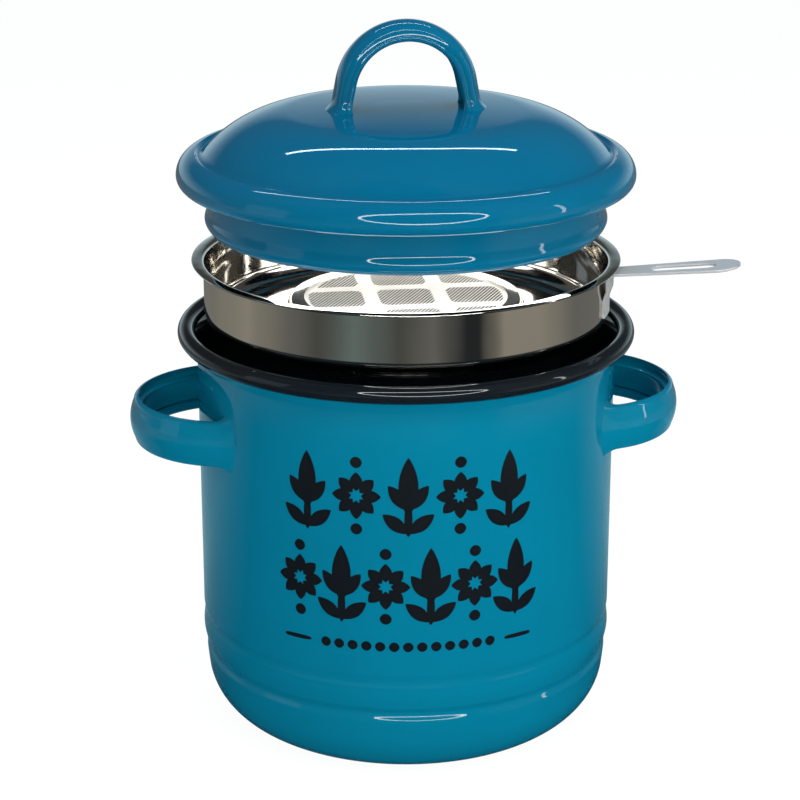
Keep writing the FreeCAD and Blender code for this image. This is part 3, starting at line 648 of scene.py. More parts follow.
@dataclass
class SideHandle:
    """One loop handle: a band with rolled edges whose feet flare onto the wall."""

    finishes: Finishes
    side: int
    wall_radius: float
    size: SideHandleSizes = SideHandleSizes()

    def section(self) -> list[Point]:
        """The band's section as depth inwards from its middle plane and height.

        Returns:
            Points of outward depth and height, closed.
        """
        s = self.size
        level = s.band / 2 - s.edge
        points: list[Point] = []
        steps = 8
        for i in range(steps + 1):
            angle = math.pi / 2 * i / steps
            points.append((s.edge * math.sin(angle), level + s.edge * math.cos(angle)))
        rows = 12
        for i in range(1, rows):
            t = -1 + 2 * i / rows
            points.append((s.edge + s.crown * (1 - t * t), -t * level))
        for i in range(steps + 1):
            angle = math.pi / 2 * i / steps
            points.append((s.edge * math.cos(angle), -level - s.edge * math.sin(angle)))
        for i in range(1, 2 * steps + 1):
            angle = math.pi / 2 + math.pi * i / (2 * steps) * 0.97
            points.append((s.edge * math.cos(angle), -level - s.edge * math.sin(angle)))
        for i in range(1, rows):
            t = -1 + 2 * i / rows
            points.append((-s.edge + s.recess * (1 - t**4), t * (level - s.edge)))
        for i in range(2 * steps):
            angle = math.pi * 1.47 - math.pi * i / (2 * steps) * 0.97
            points.append((s.edge * math.sin(angle - math.pi / 2),
                           level + s.edge * math.sin(angle)))
        return points

    def path(self) -> list[Point]:
        """Stations round the loop.

        Returns:
            Each station's angle on the loop and its distance from the wall along the band.
        """
        s = self.size
        bend = s.radius - s.edge - s.crown
        middle = bend + s.crown / 2
        cosine = (self.wall_radius**2 - s.middle**2 - middle**2) / (2 * s.middle * middle)
        end = math.acos(cosine)
        near = [d / bend for d in (0.0, 0.2, 0.45, 0.8, 1.2, 1.7, 2.3, 3.0, 3.8, 4.8)]
        rest = end - near[-1]
        count = 44
        out = [(-end + d, d * bend) for d in near]
        out += [(-rest + 2 * rest * i / count, s.flare_length) for i in range(1, count)]
        out += [(end - d, d * bend) for d in reversed(near)]
        return out

    def build(self) -> bpy.types.Object:
        """Sweep the band round its loop.

        Returns:
            The handle.
        """
        s = self.size
        bend = s.radius - s.edge - s.crown
        section = self.section()
        rings: list[list[Point3]] = []
        for angle, distance in self.path():
            near = max(0.0, 1 - distance / s.flare_length)
            grow = s.flare * near**2.4
            hand = 1 if angle < 0 else -1
            ahead = Vector((-math.sin(angle), math.cos(angle))) * hand
            ring: list[Point3] = []
            for out, up in section:
                share = min(1.0, abs(out) / s.edge)
                reach = bend + out + grow * 0.75 * out / max(abs(out), 0.4) * share
                share = min(1.0, abs(up) / (s.band / 4))
                rise = up + grow * up / max(math.hypot(out, up), 1e-6) * share
                place = Vector((s.middle + reach * math.cos(angle), reach * math.sin(angle)))
                along = place.dot(ahead)
                gap = along**2 - place.length_squared + (self.wall_radius - 0.35) ** 2
                shift = math.sqrt(max(gap, 0.0)) - along + distance
                place += ahead * shift * near
                ring.append((self.side * place.x, self.side * place.y, s.height + rise))
            rings.append(ring)
        name = "handle_loop_right" if self.side > 0 else "handle_loop_left"
        obj = swept(name, rings)
        where = "right" if self.side > 0 else "left"
        return dress(obj, self.finishes.plain(BLUE_ENAMEL), Slot.BLUE, Body.POT,
                     "handle_" + where, "handle_fillets_" + where)


@dataclass(frozen=True)
class StrainerSizes:
    """The strainer's sizes, as in the CAD sheet."""

    top: float = 143.0
    flange_radius: float = 63.2
    pan_radius: float = 59.8
    sheet: float = 0.5
    depth: float = 20.5
    corner: float = 6.0
    flange_corner: float = 1.2
    plateau_radius: float = 34.3
    plateau_rise: float = 7.5
    plateau_slope: float = 2.5
    drain_radius: float = 30.2
    mesh_radius: float = 31.6
    mesh_thickness: float = 0.3
    field: float = 17.5
    bar: float = 3.2
    pitch: float = 1.15
    slot: float = 0.62
    border: float = 0.6
    lean: float = 62.0
    field_corner: float = 2.6


@dataclass(frozen=True)
class StripSizes:
    """The strainer's strip handle and its leg."""

    thickness: float = 0.8
    root_width: float = 8.6
    tip_width: float = 12.6
    reach: float = 98.5
    tilt: float = 7.5
    turn: float = -22.0
    slot_length: float = 18.5
    slot_width: float = 5.0
    slot_margin: float = 7.0
    leg_gap: float = 1.0
    leg_stand: float = 5.5
    leg_joggle: float = 3.0
    leg_foot: float = 5.0


@dataclass
class Strainer:
    """The pressed pan, its perforated disc and its strip handle."""

    finishes: Finishes
    size: StrainerSizes = StrainerSizes()
    strip: StripSizes = StripSizes()

    def pan(self) -> bpy.types.Object:
        """Turn the pressed pan.

        Returns:
            The pan.
        """
        s = self.size
        bore = s.pan_radius - s.sheet
        floor = -s.depth + s.sheet
        plateau = floor + s.plateau_rise
        toe = s.plateau_radius + s.plateau_slope
        knee = -s.depth + s.corner
        bend = s.corner - s.sheet
        tight = s.flange_corner - s.sheet
        section = Profile([(s.flange_radius, -s.sheet * 0.5)])
        section.arc(s.flange_radius - s.sheet * 0.4, 0.0, s.sheet * 0.5, 1, 4)
        section.to(bore + s.flange_corner, 0.0)
        section.arc(bore, -s.flange_corner, s.flange_corner, 1, 8)
        section.to(bore, knee)
        section.arc(bore - bend, floor, bend, -1, 12)
        section.to(toe + 1.2, floor)
        section.arc(toe - 0.3, floor + 0.55, 1.9, -1, 4)
        section.to(s.plateau_radius + 0.5, plateau - 0.7)
        section.arc(s.plateau_radius - 0.7, plateau, 1.4, 1, 5)
        section.to(s.drain_radius, plateau)
        section.to(s.drain_radius, plateau - s.sheet)
        section.to(s.plateau_radius - s.sheet, plateau - s.sheet)
        section.to(toe - s.sheet, floor - s.sheet)
        section.to(s.pan_radius - s.corner, -s.depth)
        section.arc(s.pan_radius, knee, s.corner, 1, 12)
        section.to(s.pan_radius, -s.flange_corner)
        section.arc(s.pan_radius + tight, -s.sheet, tight, -1, 6)
        section.to(s.flange_radius - s.sheet * 0.4, -s.sheet)
        obj = turned("pan", section, lift=s.top)
        return dress(obj, self.finishes.plain(POLISHED_STEEL), Slot.POLISHED, Body.STRAINER,
                     "strainer_pan")

    def slots(self) -> list[list[Point]]:
        """Outlines of the leaning slots in three by three rounded fields.

        Returns:
            The slots' outlines in the disc's plane.
        """
        s = self.size
        lean = math.radians(s.lean)
        half = s.field / 2 - s.border
        limit = s.drain_radius - 1.2
        out: list[list[Point]] = []
        step = s.field + s.bar
        count = int(s.field * 1.6 / s.pitch)
        samples = 120
        for column in (-1, 0, 1):
            for row in (-1, 0, 1):
                for number in range(-count, count + 1):
                    inside: list[float] = []
                    for i in range(samples + 1):
                        along = (2 * i / samples - 1) * half / math.sin(lean)
                        x = number * s.pitch + along * math.cos(lean)
                        y = along * math.sin(lean)
                        if self.in_field(abs(x), abs(y), half) and math.hypot(
                                column * step + x, row * step + y) < limit:
                            inside.append(along)
                    if len(inside) < 8:
                        continue
                    out.append(self.slot_outline(column * step + number * s.pitch, row * step,
                                                 inside[0], inside[-1], lean))
        return out

    def in_field(self, x: float, y: float, half: float) -> bool:
        """Whether a point lies in a field with rounded corners.

        Args:
            x: Distance from the field's middle.
            y: Distance from the field's middle.
            half: Half the field's side.

        Returns:
            True inside the field.
        """
        corner = self.size.field_corner
        over_x = max(x - (half - corner), 0.0)
        over_y = max(y - (half - corner), 0.0)
        return math.hypot(over_x, over_y) <= corner

    def slot_outline(self, x: float, y: float, start: float, end: float,
                     lean: float) -> list[Point]:
        """One slot with pointed ends.

        Args:
            x: Middle of the slot's line.
            y: Middle of the slot's line.
            start: Distance along the line to its start.
            end: Distance along the line to its end.
            lean: Direction of the line.

        Returns:
            The outline.
        """
        half = self.size.slot / 2
        ux, uy = math.cos(lean), math.sin(lean)
        shape = ((start, 0), (start + half, -half), (end - half, -half), (end, 0),
                 (end - half, half), (start + half, half))
        return [(x + a * ux - b * uy, y + a * uy + b * ux) for a, b in shape]

    def disc(self) -> bpy.types.Object:
        """Punch the perforated disc.

        Returns:
            The disc.
        """
        s = self.size
        steps = 128
        edge = [(s.mesh_radius * math.cos(math.tau * i / steps),
                 s.mesh_radius * math.sin(math.tau * i / steps)) for i in range(steps)]
        obj = plate("perforated_disc", [edge] + self.slots(), s.mesh_thickness)
        height = s.top - s.depth + s.plateau_rise - s.mesh_thickness / 2
        obj.data.transform(Matrix.Translation((0, 0, height * MM)))
        return dress(obj, self.finishes.plain(PERFORATED_STEEL), Slot.PERFORATED, Body.STRAINER,
                     "strainer_mesh")

    def handle(self) -> bpy.types.Object:
        """Cut and bend the strip handle with its leg.

        Returns:
            The handle.
        """
        p = self.strip
        s = self.size
        top = s.top - s.sheet
        root = s.pan_radius + p.leg_gap
        wide = p.tip_width / 2
        shoulder = p.reach - wide
        outline: list[Point] = [(s.flange_radius - 0.6, -p.root_width / 2)]
        steps = 24
        for i in range(steps + 1):
            angle = -math.pi / 2 + math.pi * i / steps
            outline.append((shoulder + wide * math.cos(angle), wide * math.sin(angle)))
        outline.append((s.flange_radius - 0.6, p.root_width / 2))
        half = p.slot_width / 2
        outer = p.reach - p.slot_margin
        inner = outer - p.slot_length
        slot_line: list[Point] = []
        for i in range(17):
            angle = -math.pi / 2 + math.pi * i / 16
            slot_line.append((outer - half + half * math.cos(angle), half * math.sin(angle)))
        for i in range(17):
            angle = math.pi / 2 + math.pi * i / 16
            slot_line.append((inner + half + half * math.cos(angle), half * math.sin(angle)))
        flat = plate("strip_flat", [outline, slot_line], p.thickness, bevel=0.12)
        slope = math.tan(math.radians(p.tilt))
        for vertex in flat.data.vertices:
            past = max(0.0, vertex.co.x / MM - s.flange_radius)
            vertex.co.z += (top - p.thickness / 2 + past * slope) * MM
        leg = self.leg(root, top)
        joined = join("strip_handle", [flat, leg])
        joined.data.transform(Matrix.Rotation(math.radians(p.turn), 4, "Z"))
        return dress(joined, self.finishes.plain(SATIN_STEEL), Slot.SATIN, Body.STRAINER,
                     "strainer_handle")

    def leg(self, root: float, top: float) -> bpy.types.Object:
        """The leg: a strip that follows the pan's wall round, joggles in and lies on it.

        Args:
            root: Radius of the leg's inner face under the flange.
            top: Height of the flange's underside.

        Returns:
            The leg.
        """
        p = self.strip
        s = self.size
        low = -p.leg_stand
        joggle = low - p.leg_joggle
        end = joggle - p.leg_foot
        t = p.thickness
        shape: list[Point] = [(root, 0.0), (root, low), (s.pan_radius + 0.02, joggle),
                              (s.pan_radius + 0.02, end), (s.pan_radius + t, end),
                              (s.pan_radius + t, joggle), (root + t, low), (root + t, -t - 0.6),
                              (root + t + 0.5, -t), (s.flange_radius, -t), (s.flange_radius, 0.0)]
        half = math.asin(p.root_width / 2 / root)
        rings = []
        for i in range(13):
            angle = -half + 2 * half * i / 12
            rings.append([(r * math.cos(angle), r * math.sin(angle), top + h) for r, h in shape])
        return swept("strip_leg", rings, sharp=30)

    def build(self) -> list[bpy.types.Object]:
        """Make the strainer.

        Returns:
            Its pieces.
        """
        return [self.pan(), self.disc(), self.handle()]


def join(name: str, objects: Sequence[bpy.types.Object]) -> bpy.types.Object:
    """Merge pieces of one part into one mesh.

    Args:
        name: Name of the result.
        objects: The pieces.

    Returns:
        The merged piece.
    """
    verts: list[Point3] = []
    faces: list[list[int]] = []
    for obj in objects:
        first = len(verts)
        verts += [tuple(c / MM for c in v.co) for v in obj.data.vertices]
        faces += [[first + i for i in polygon.vertices] for polygon in obj.data.polygons]
    for obj in objects:
        bpy.data.objects.remove(obj)
    return new_mesh(name, verts, faces)


@dataclass(frozen=True)
class LidSizes:
    """The lid's sizes, as in the CAD sheet."""

    base: float = 165.2
    sheet: float = 1.0
    lining: float = 0.3
    brim_radius: float = 67.0
    brim_edge: float = 3.2
    brim_height: float = 9.5
    lip_radius: float = 62.2
    dip_corner: float = 1.5
    dome_height: float = 22.0
    crown_radius: float = 720.0
    crown_angle: float = 2.7
    shoulder_radius: float = 36.0
    shoulder_angle: float = 48.9
    collar_radius: float = 59.0
    collar_bulge: float = 0.7
    collar_thickness: float = 0.8
    collar_bead: float = 5.4
    collar_tuck: float = 0.5
    collar_drop: float = 12.5


@dataclass(frozen=True)
class BowSizes:
    """The lid's bow handle."""

    half_span: float = 20.8
    splay: float = 11.0
    rise: float = 47.4
    width: float = 12.4
    edge: float = 1.1
    depth: float = 5.6
    recess: float = 2.6
    flare: float = 2.0
    flare_length: float = 3.6


@dataclass
class Lid:
    """The domed lid with its collar, lining and bow handle."""

    finishes: Finishes
    size: LidSizes = LidSizes()
    bow: BowSizes = BowSizes()

    def dome(self, skin: float) -> list[Point]:
        """The dome's section from the dip to the middle, drawn in by a skin.

        Args:
            skin: Depth below the outer face.

        Returns:
            Points from the brim's top inwards to the axis.
        """
        s = self.size
        crown = s.crown_radius - skin
        shoulder = s.shoulder_radius - skin
        across = (s.crown_radius - s.shoulder_radius) * math.sin(math.radians(s.crown_angle))
        up = (s.dome_height - s.crown_radius
              + (s.crown_radius - s.shoulder_radius) * math.cos(math.radians(s.crown_angle)))
        points: list[Point] = []
        for i in range(25):
            angle = math.radians(s.shoulder_angle + (s.crown_angle - s.shoulder_angle) * i / 24)
            points.append((across + shoulder * math.sin(angle), up + shoulder * math.cos(angle)))
        for i in range(1, 9):
            angle = math.radians(s.crown_angle * (1 - i / 8))
            height = s.dome_height - s.crown_radius + crown * math.cos(angle)
            points.append((crown * math.sin(angle), height))
        points[-1] = (0.0, points[-1][1])
        return points

    def shell(self) -> bpy.types.Object:
        """Turn the pressed lid.

        Returns:
            The shell.
        """
        s = self.size
        crown = s.brim_height - s.brim_edge
        centre = s.brim_radius - crown
        t = s.sheet
        outside = Profile([(s.lip_radius, t * 0.4), (s.lip_radius + 0.3, 0.0),
                           (s.brim_radius - s.brim_edge, 0.0)])
        outside.arc(s.brim_radius, s.brim_edge, s.brim_edge, 1, 10)
        outside.arc(centre + crown * 0.12, s.brim_edge + crown * 0.9928, crown, 1, 20)
        dome = self.dome(0.0)
        soft = dip(outside.points[-1], dome[0], 0.55)
        outside.points += soft + dome
        inside = Profile([(s.lip_radius, t), (s.brim_radius - s.brim_edge, t)])
        inside.arc(s.brim_radius - t, s.brim_edge, s.brim_edge - t, 1, 8)
        inside.arc(centre, s.brim_edge + crown - t, crown - t, 1, 16)
        under = self.dome(t)
        inside.points += dip(inside.points[-1], under[0], 0.1) + under
        obj = turned("dome", Profile(outside.points + inside.points[::-1]), lift=s.base)
        # Painted shade: the lid shell takes the darker copy of the pot's blue enamel.
        return dress(obj, self.finishes.plain(LID_ENAMEL_PAINTED_SHADE), Slot.BLUE, Body.LID, "lid_shell")

    def ceiling(self, radius: float, skin: float) -> float:
        """Height of the lid's underside at a radius.

        Args:
            radius: Distance from the axis.
            skin: Depth below the outer face.

        Returns:
            Height above the brim's underside.
        """
        points = self.dome(skin)
        for (r0, h0), (r1, h1) in zip(points, points[1:]):
            if r1 <= radius <= r0:
                return h0 + (h1 - h0) * (r0 - radius) / max(r0 - r1, 1e-9)
        return points[0][1]

    def collar(self) -> bpy.types.Object:
        """Turn the collar with its rounded lower bead.

        Returns:
            The collar.
        """
        s = self.size
        sheet = s.collar_radius - s.collar_bulge
        bore = sheet - s.collar_thickness
        middle = -s.collar_drop + s.collar_bead / 2
        top = self.ceiling(sheet, s.sheet)
        section = Profile([(bore, -s.collar_drop + 0.25), (bore + 0.15, -s.collar_drop)])
        section.to(sheet - s.collar_tuck - 0.2, -s.collar_drop)
        steps = 10
        for i in range(steps + 1):
            t = i / steps
            ease = math.sin(math.pi / 2 * t)
            section.to(sheet - s.collar_tuck + (s.collar_tuck + s.collar_bulge) * ease,
                       -s.collar_drop + 0.15 + (s.collar_bead / 2 - 0.15) * t)
        for i in range(1, steps + 1):
            t = i / steps
            section.to(sheet + s.collar_bulge * (0.5 + 0.5 * math.cos(math.pi * t)),
                       middle + s.collar_bead / 2 * t * 1.15)
        section.to(sheet, -0.6)
        section.to(sheet, top)
        section.to(bore, self.ceiling(bore, s.sheet))
        obj = turned("collar", section, lift=s.base)
        # Painted shade: the collar takes the darker copy of the pot's blue enamel.
        return dress(obj, self.finishes.plain(LID_ENAMEL_PAINTED_SHADE), Slot.BLUE, Body.LID, "lid_collar")

    def lining(self) -> bpy.types.Object:
        """Turn the black enamel inside the lid.

        Returns:
            The lining.
        """
        s = self.size
        bore = s.collar_radius - s.collar_bulge - s.collar_thickness
        inner = bore - s.lining
        high = [p for p in self.dome(s.sheet) if p[0] < bore]
        low = [p for p in self.dome(s.sheet + s.lining) if p[0] < inner]
        section = Profile([(bore, -s.collar_drop), (bore, self.ceiling(bore, s.sheet))])
        section.points += high
        section.points += low[::-1]
        section.points += [(inner, self.ceiling(inner, s.sheet + s.lining)),
                           (inner, -s.collar_drop)]
        obj = turned("lid_inside", section, lift=s.base)
        return dress(obj, self.finishes.plain(BLACK_ENAMEL), Slot.BLACK, Body.LID, "lid_lining")

    def strap(self) -> list[Point]:
        """The bow's section as depth inwards from its back and sideways position.

        Returns:
            Points of depth and side, closed.
        """
        b = self.bow
        half = b.width / 2
        deep = b.depth - b.edge
        crease = deep - 0.75 * b.edge
        shoulder = half - 0.28
        points: list[Point] = []
        steps = 28
        for i in range(steps + 1):
            angle = math.pi * i / steps
            side = math.cos(angle)
            points.append((crease * (1 - abs(math.sin(angle)) ** 0.8), shoulder * side))
        rounds = 12
        for i in range(rounds + 1):
            angle = math.radians(-60 + 230 * i / rounds)
            points.append((deep + b.edge * math.sin(angle),
                           -half + b.edge - b.edge * math.cos(angle)))
        inside = half - 2 * b.edge
        for i in range(1, 10):
            t = -1 + 2 * i / 10
            points.append((deep - (b.recess - b.edge) * (1 - t**4), inside * t))
        for i in range(rounds + 1):
            angle = math.radians(170 - 230 * i / rounds)
            points.append((deep + b.edge * math.sin(angle),
                           half - b.edge + b.edge * math.cos(angle)))
        return points

    def handle(self) -> bpy.types.Object:
        """Sweep the bow with feet that flare onto the dome.

        Returns:
            The handle.
        """
        b = self.bow
        section = self.strap()
        splay = math.radians(b.splay)
        centre = b.rise - b.half_span
        top = centre + b.half_span * math.sin(splay)
        side_top = b.half_span * math.cos(splay)
        leg = (top - self.ceiling(b.half_span, 0.0)) / math.cos(splay)
        near = [d for d in (0.0, 0.2, 0.5, 0.9, 1.4, 2.0, 2.8, 3.8, 5.0, 6.5, 8.0) if d < leg - 0.3]
        arc_steps = 60
        stations = [(d, -1) for d in near]
        stations += [(-1.0 - i / arc_steps, 0) for i in range(arc_steps + 1)]
        stations += [(d, 1) for d in reversed(near)]
        rings: list[list[Point3]] = []
        for distance, hand in stations:
            fade = max(0.0, 1 - distance / b.flare_length) ** 2.2 if hand else 0.0
            ring: list[Point3] = []
            for depth, side in section:
                off = depth - b.depth / 2
                length = max(math.hypot(off, side), 1e-6)
                depth_out = depth + b.flare * fade * 0.8 * off / length
                side_out = side + b.flare * fade * side / length
                if hand:
                    along = leg - distance
                    x = side_top + along * math.sin(splay) - depth_out * math.cos(splay)
                    z = top - along * math.cos(splay) - depth_out * math.sin(splay)
                    surface = self.ceiling(math.hypot(x, side_out), 0.0) - 0.3
                    blend = max(0.0, 1 - distance / leg)
                    flat = top - leg * math.cos(splay)
                    z += (surface - flat + depth_out * math.sin(splay)) * blend
                    x *= hand
                else:
                    turn = splay + (math.pi - 2 * splay) * (-1.0 - distance)
                    reach = b.half_span - depth_out
                    x = -reach * math.cos(turn)
                    z = centre + reach * math.sin(turn)
                ring.append((x, side_out, self.size.base + z))
            rings.append(ring)
        obj = swept("bow", rings)
        # Painted shade: the bow takes the darker copy of the pot's blue enamel.
        return dress(obj, self.finishes.plain(LID_ENAMEL_PAINTED_SHADE), Slot.BLUE, Body.LID,
                     "lid_handle", "lid_handle_fillets")

    def build(self) -> list[bpy.types.Object]:
        """Make the lid.

        Returns:
            Its pieces.
        """
        return [self.shell(), self.collar(), self.lining(), self.handle()]


@dataclass(frozen=True)
class OrnamentSizes:
    """The black ornament fired onto the pot's front, in millimetres on the wall."""

    radius: float = 62.2
    upper_row: float = 90.0
    lower_row: float = 63.0
    foot_row: float = 44.5
    upper_pitch: float = 14.7
    lower_pitch: float = 12.8
    height: float = 23.6
    foot_reach: float = 37.5
    turn: float = -6.8
    lift: float = 0.05
    leaf_base: float = 6.0
    leaf_width: float = 5.6
    stem: Point = (10.5, 2.3)
    side_leaf: Point = (9.2, 4.0)
    side_leaves: tuple[Point, ...] = ((1.0, 52.0), (8.0, 38.0))
    petals: int = 8
    petal_start: float = 1.4
    petal: Point = (5.6, 3.6)
    bead_reach: float = 9.9
    bead: float = 3.4
    foot_beads: int = 13
    foot_pitch: float = 4.0
    foot_bead: float = 3.0
    bar: Point = (9.0, 1.3)
    round_end: float = 0.5
    bar_end: float = 0.2


@dataclass
class Ornament:
    """Two rows of leaf sprigs and blossoms over a row of beads between two bars."""

    finishes: Finishes
    size: OrnamentSizes = OrnamentSizes()
    verts: list[Point3] = field(default_factory=list)
    faces: list[list[int]] = field(default_factory=list)

    def blade(self, across: float, up: float, length: float, width: float, lean: float,
              point: float = 0.8) -> None:
        """Add one leaf-shaped stroke.

        Args:
            across: Its lower end, round the wall.
            up: Its lower end, height.
            length: From end to end.
            width: At its widest.
            lean: Direction from upright, in degrees.
            point: Sharpness of its ends; small values give blunt ends.
        """
        ux, uy = math.sin(math.radians(lean)), math.cos(math.radians(lean))
        steps = 20
        first = len(self.verts)
        for i in range(steps + 1):
            t = i / steps
            half = width / 2 * max(math.sin(math.pi * t), 0.0) ** point
            for side in (-1.0, -0.5, 0.0, 0.5, 1.0):
                self.verts.append(self.on_wall(across + ux * length * t + uy * half * side,
                                               up + uy * length * t - ux * half * side))
        for i in range(steps):
            for k in range(4):
                low = first + i * 5 + k
                self.faces.append([low, low + 1, low + 6, low + 5])

    def on_wall(self, across: float, up: float) -> Point3:
        """Wrap a point of the flat drawing round the wall.

        Args:
            across: Distance round the wall from the front.
            up: Height above the base.

        Returns:
            The point in space.
        """
        s = self.size
        angle = across / s.radius + math.radians(s.turn)
        reach = s.radius + s.lift
        return (reach * math.sin(angle), -reach * math.cos(angle), up)

    def sprig(self, across: float, middle: float) -> None:
        """Add an upright leaf with two pairs of side leaves.

        Args:
            across: Middle of the sprig.
            middle: Its middle height.
        """
        s = self.size
        low = middle - s.height / 2
        self.blade(across, low + s.leaf_base, s.height - s.leaf_base, s.leaf_width, 0.0)
        self.blade(across, low, *s.stem, 0.0, s.round_end)
        for hand in (-1, 1):
            for rise, lean in s.side_leaves:
                self.blade(across, low + rise, *s.side_leaf, lean * hand)

    def blossom(self, across: float, middle: float) -> None:
        """Add eight petals round an open middle, with a bead above and below.

        Args:
            across: Middle of the blossom.
            middle: Its middle height.
        """
        s = self.size
        for i in range(s.petals):
            lean = 360.0 / s.petals * i
            turn = math.radians(lean)
            self.blade(across + s.petal_start * math.sin(turn),
                       middle + s.petal_start * math.cos(turn), *s.petal, lean)
        for side in (-1, 1):
            self.blade(across, middle + side * s.bead_reach - s.bead / 2, s.bead, s.bead, 0.0,
                       s.round_end)

    def build(self) -> bpy.types.Object:
        """Draw the ornament.

        Returns:
            The ornament as one thin skin on the wall.
        """
        s = self.size
        for number in range(5):
            across = (number - 2) * s.upper_pitch
            (self.sprig if number % 2 == 0 else self.blossom)(across, s.upper_row)
        for number in range(6):
            across = (number - 2.5) * s.lower_pitch
            (self.blossom if number % 2 == 0 else self.sprig)(across, s.lower_row)
        for number in range(s.foot_beads):
            self.blade((number - s.foot_beads // 2) * s.foot_pitch, s.foot_row - s.foot_bead / 2,
                       s.foot_bead, s.foot_bead, 0.0, s.round_end)
        for side in (-1, 1):
            self.blade(side * (s.foot_reach - s.bar[0]), s.foot_row, *s.bar, 90.0 * side,
                       s.bar_end)
        obj = new_mesh("fired_ornament", self.verts, self.faces)
        return dress(obj, self.finishes.plain(BLACK_PRINT), Slot.BLACK, Body.POT)


def dip(start: Point, end: Point, depth: float, steps: int = 10) -> list[Point]:
    """A soft groove between two corners of a section.

    Args:
        start: The corner before the groove.
        end: The corner after it, left out of the result.
        depth: How far the groove sinks below the straight line.
        steps: Number of straight pieces.

    Returns:
        The groove's points.
    """
    (ax, ay), (bx, by) = start, end
    out: list[Point] = []
    for i in range(1, steps):
        t = i / steps
        sink = depth * math.sin(math.pi * t) ** 1.3
        out.append((ax + (bx - ax) * t, ay + (by - ay) * t - sink))
    return out


@dataclass(frozen=True)
class CameraSizes:
    """The camera at the photo's viewing angle, in metres and degrees."""

    sensor_mm: float = 36.0
    focal_px: float = 2365.0
    picture_px: float = 800.0
    reach: float = 10.0
    turn: float = 7.5
    pitch: float = 18.79
    yaw_radians: float = 0.00259
    distance: float = 0.6753
    height: float = 0.3273


@dataclass(frozen=True)
class Lamp:
    """A rectangular softbox: place, aim and size in metres, and watts."""

    name: str
    place: Point3
    aim: Point3
    size: Point
    power: float
    colour: str = "#ffffff"
    mirrored: bool = True
    rides: Optional[Body] = None


MIDDLE = (0.0, 0.0, 0.11)
# The line lamp draws the long glint over the dome. The last two only fill, out of reflections.
LAMPS = (
    Lamp("line_lamp", (0.06, 0.82, 1.20), (0.0, -0.04, 0.18), (1.12, 0.036), 2.6, "#dcecff"),
    Lamp("left_box", (-1.15, -0.25, 0.30), MIDDLE, (0.5, 0.8), 0.6, "#cfe4ff"),
    Lamp("right_box", (1.10, -0.35, 0.28), MIDDLE, (0.05, 0.8), 0.8),
    Lamp("strainer_lamp", (0.0, -0.004, 0.1505), (0.0, 0.0, 0.1), (0.085, 0.085), 0.13,
         rides=Body.LID),
    Lamp("top_box", (0.1, 0.1, 0.95), MIDDLE, (0.5, 0.5), 3.4, "#c4e2ff", mirrored=False),
    Lamp("right_fill", (0.8, -0.6, 0.40), MIDDLE, (0.5, 0.5), 2.3, mirrored=False),
)


@dataclass(frozen=True)
class StudioSizes:
    """The ring lamp, the backdrop and the table: metres and watts."""

    ring_power: float = 9.0
    ring_place: Point3 = (0.02, -0.82, 0.60)
    ring_aim: Point3 = (0.0, 0.0, 0.14)
    ring_half: Point = (0.50, 0.43)
    ring_side: float = 0.03
    ring_top: float = 0.085
    ring_parts: int = 20
    diffuse: float = 0.20
    backdrop_height: Point = (0.30, 0.08)
    backdrop_depth: Point = (0.25, 0.7)
    room_dim: float = 0.7
    card_wobble: float = 0.35
    card_wobble_scale: float = 6.0
    table_mm: float = 3000.0
    table_drop: float = 0.0002
    table_glow: float = 1.06
    table_lift: float = 0.90
    table_mirror: float = 0.9
    mat_edge: Point = (0.33, 0.37)
    mat_depth: Point = (0.0, 0.12)


class Shade(Enum):
    """Plain shades of the studio: the cards round the table, the backdrop and the mat."""

    ROOM = "#7a7a76"
    PALE = "#a6a296"
    COOL = "#788886"
    DUSK = "#585a56"
    BLACK = "#2e3234"
    NIGHT = "#10151a"
    BACKDROP = "#d0eaf2"
    EVEN = "#e6f1fb"
    MAT_NEAR = "#1b2a30"
    MAT_BEHIND = "#8fb4be"
    WHITE = "#ffffff"

    def light(self) -> tuple[float, float, float, float]:
        """Give the shade as linear light.

        Returns:
            Linear red, green, blue and alpha.
        """
        return linear(self.value)


# Where the cards stand, in degrees from the camera's side. Only the steel mirrors them clearly.
CARDS = ((-150.0, Shade.ROOM), (-90.0, Shade.PALE), (-62.0, Shade.ROOM), (-44.0, Shade.DUSK),
         (-22.0, Shade.COOL), (-5.0, Shade.DUSK), (18.0, Shade.ROOM), (33.0, Shade.BLACK),
         (43.0, Shade.BLACK), (55.0, Shade.PALE), (78.0, Shade.PALE), (105.0, Shade.ROOM),
         (150.0, Shade.ROOM))


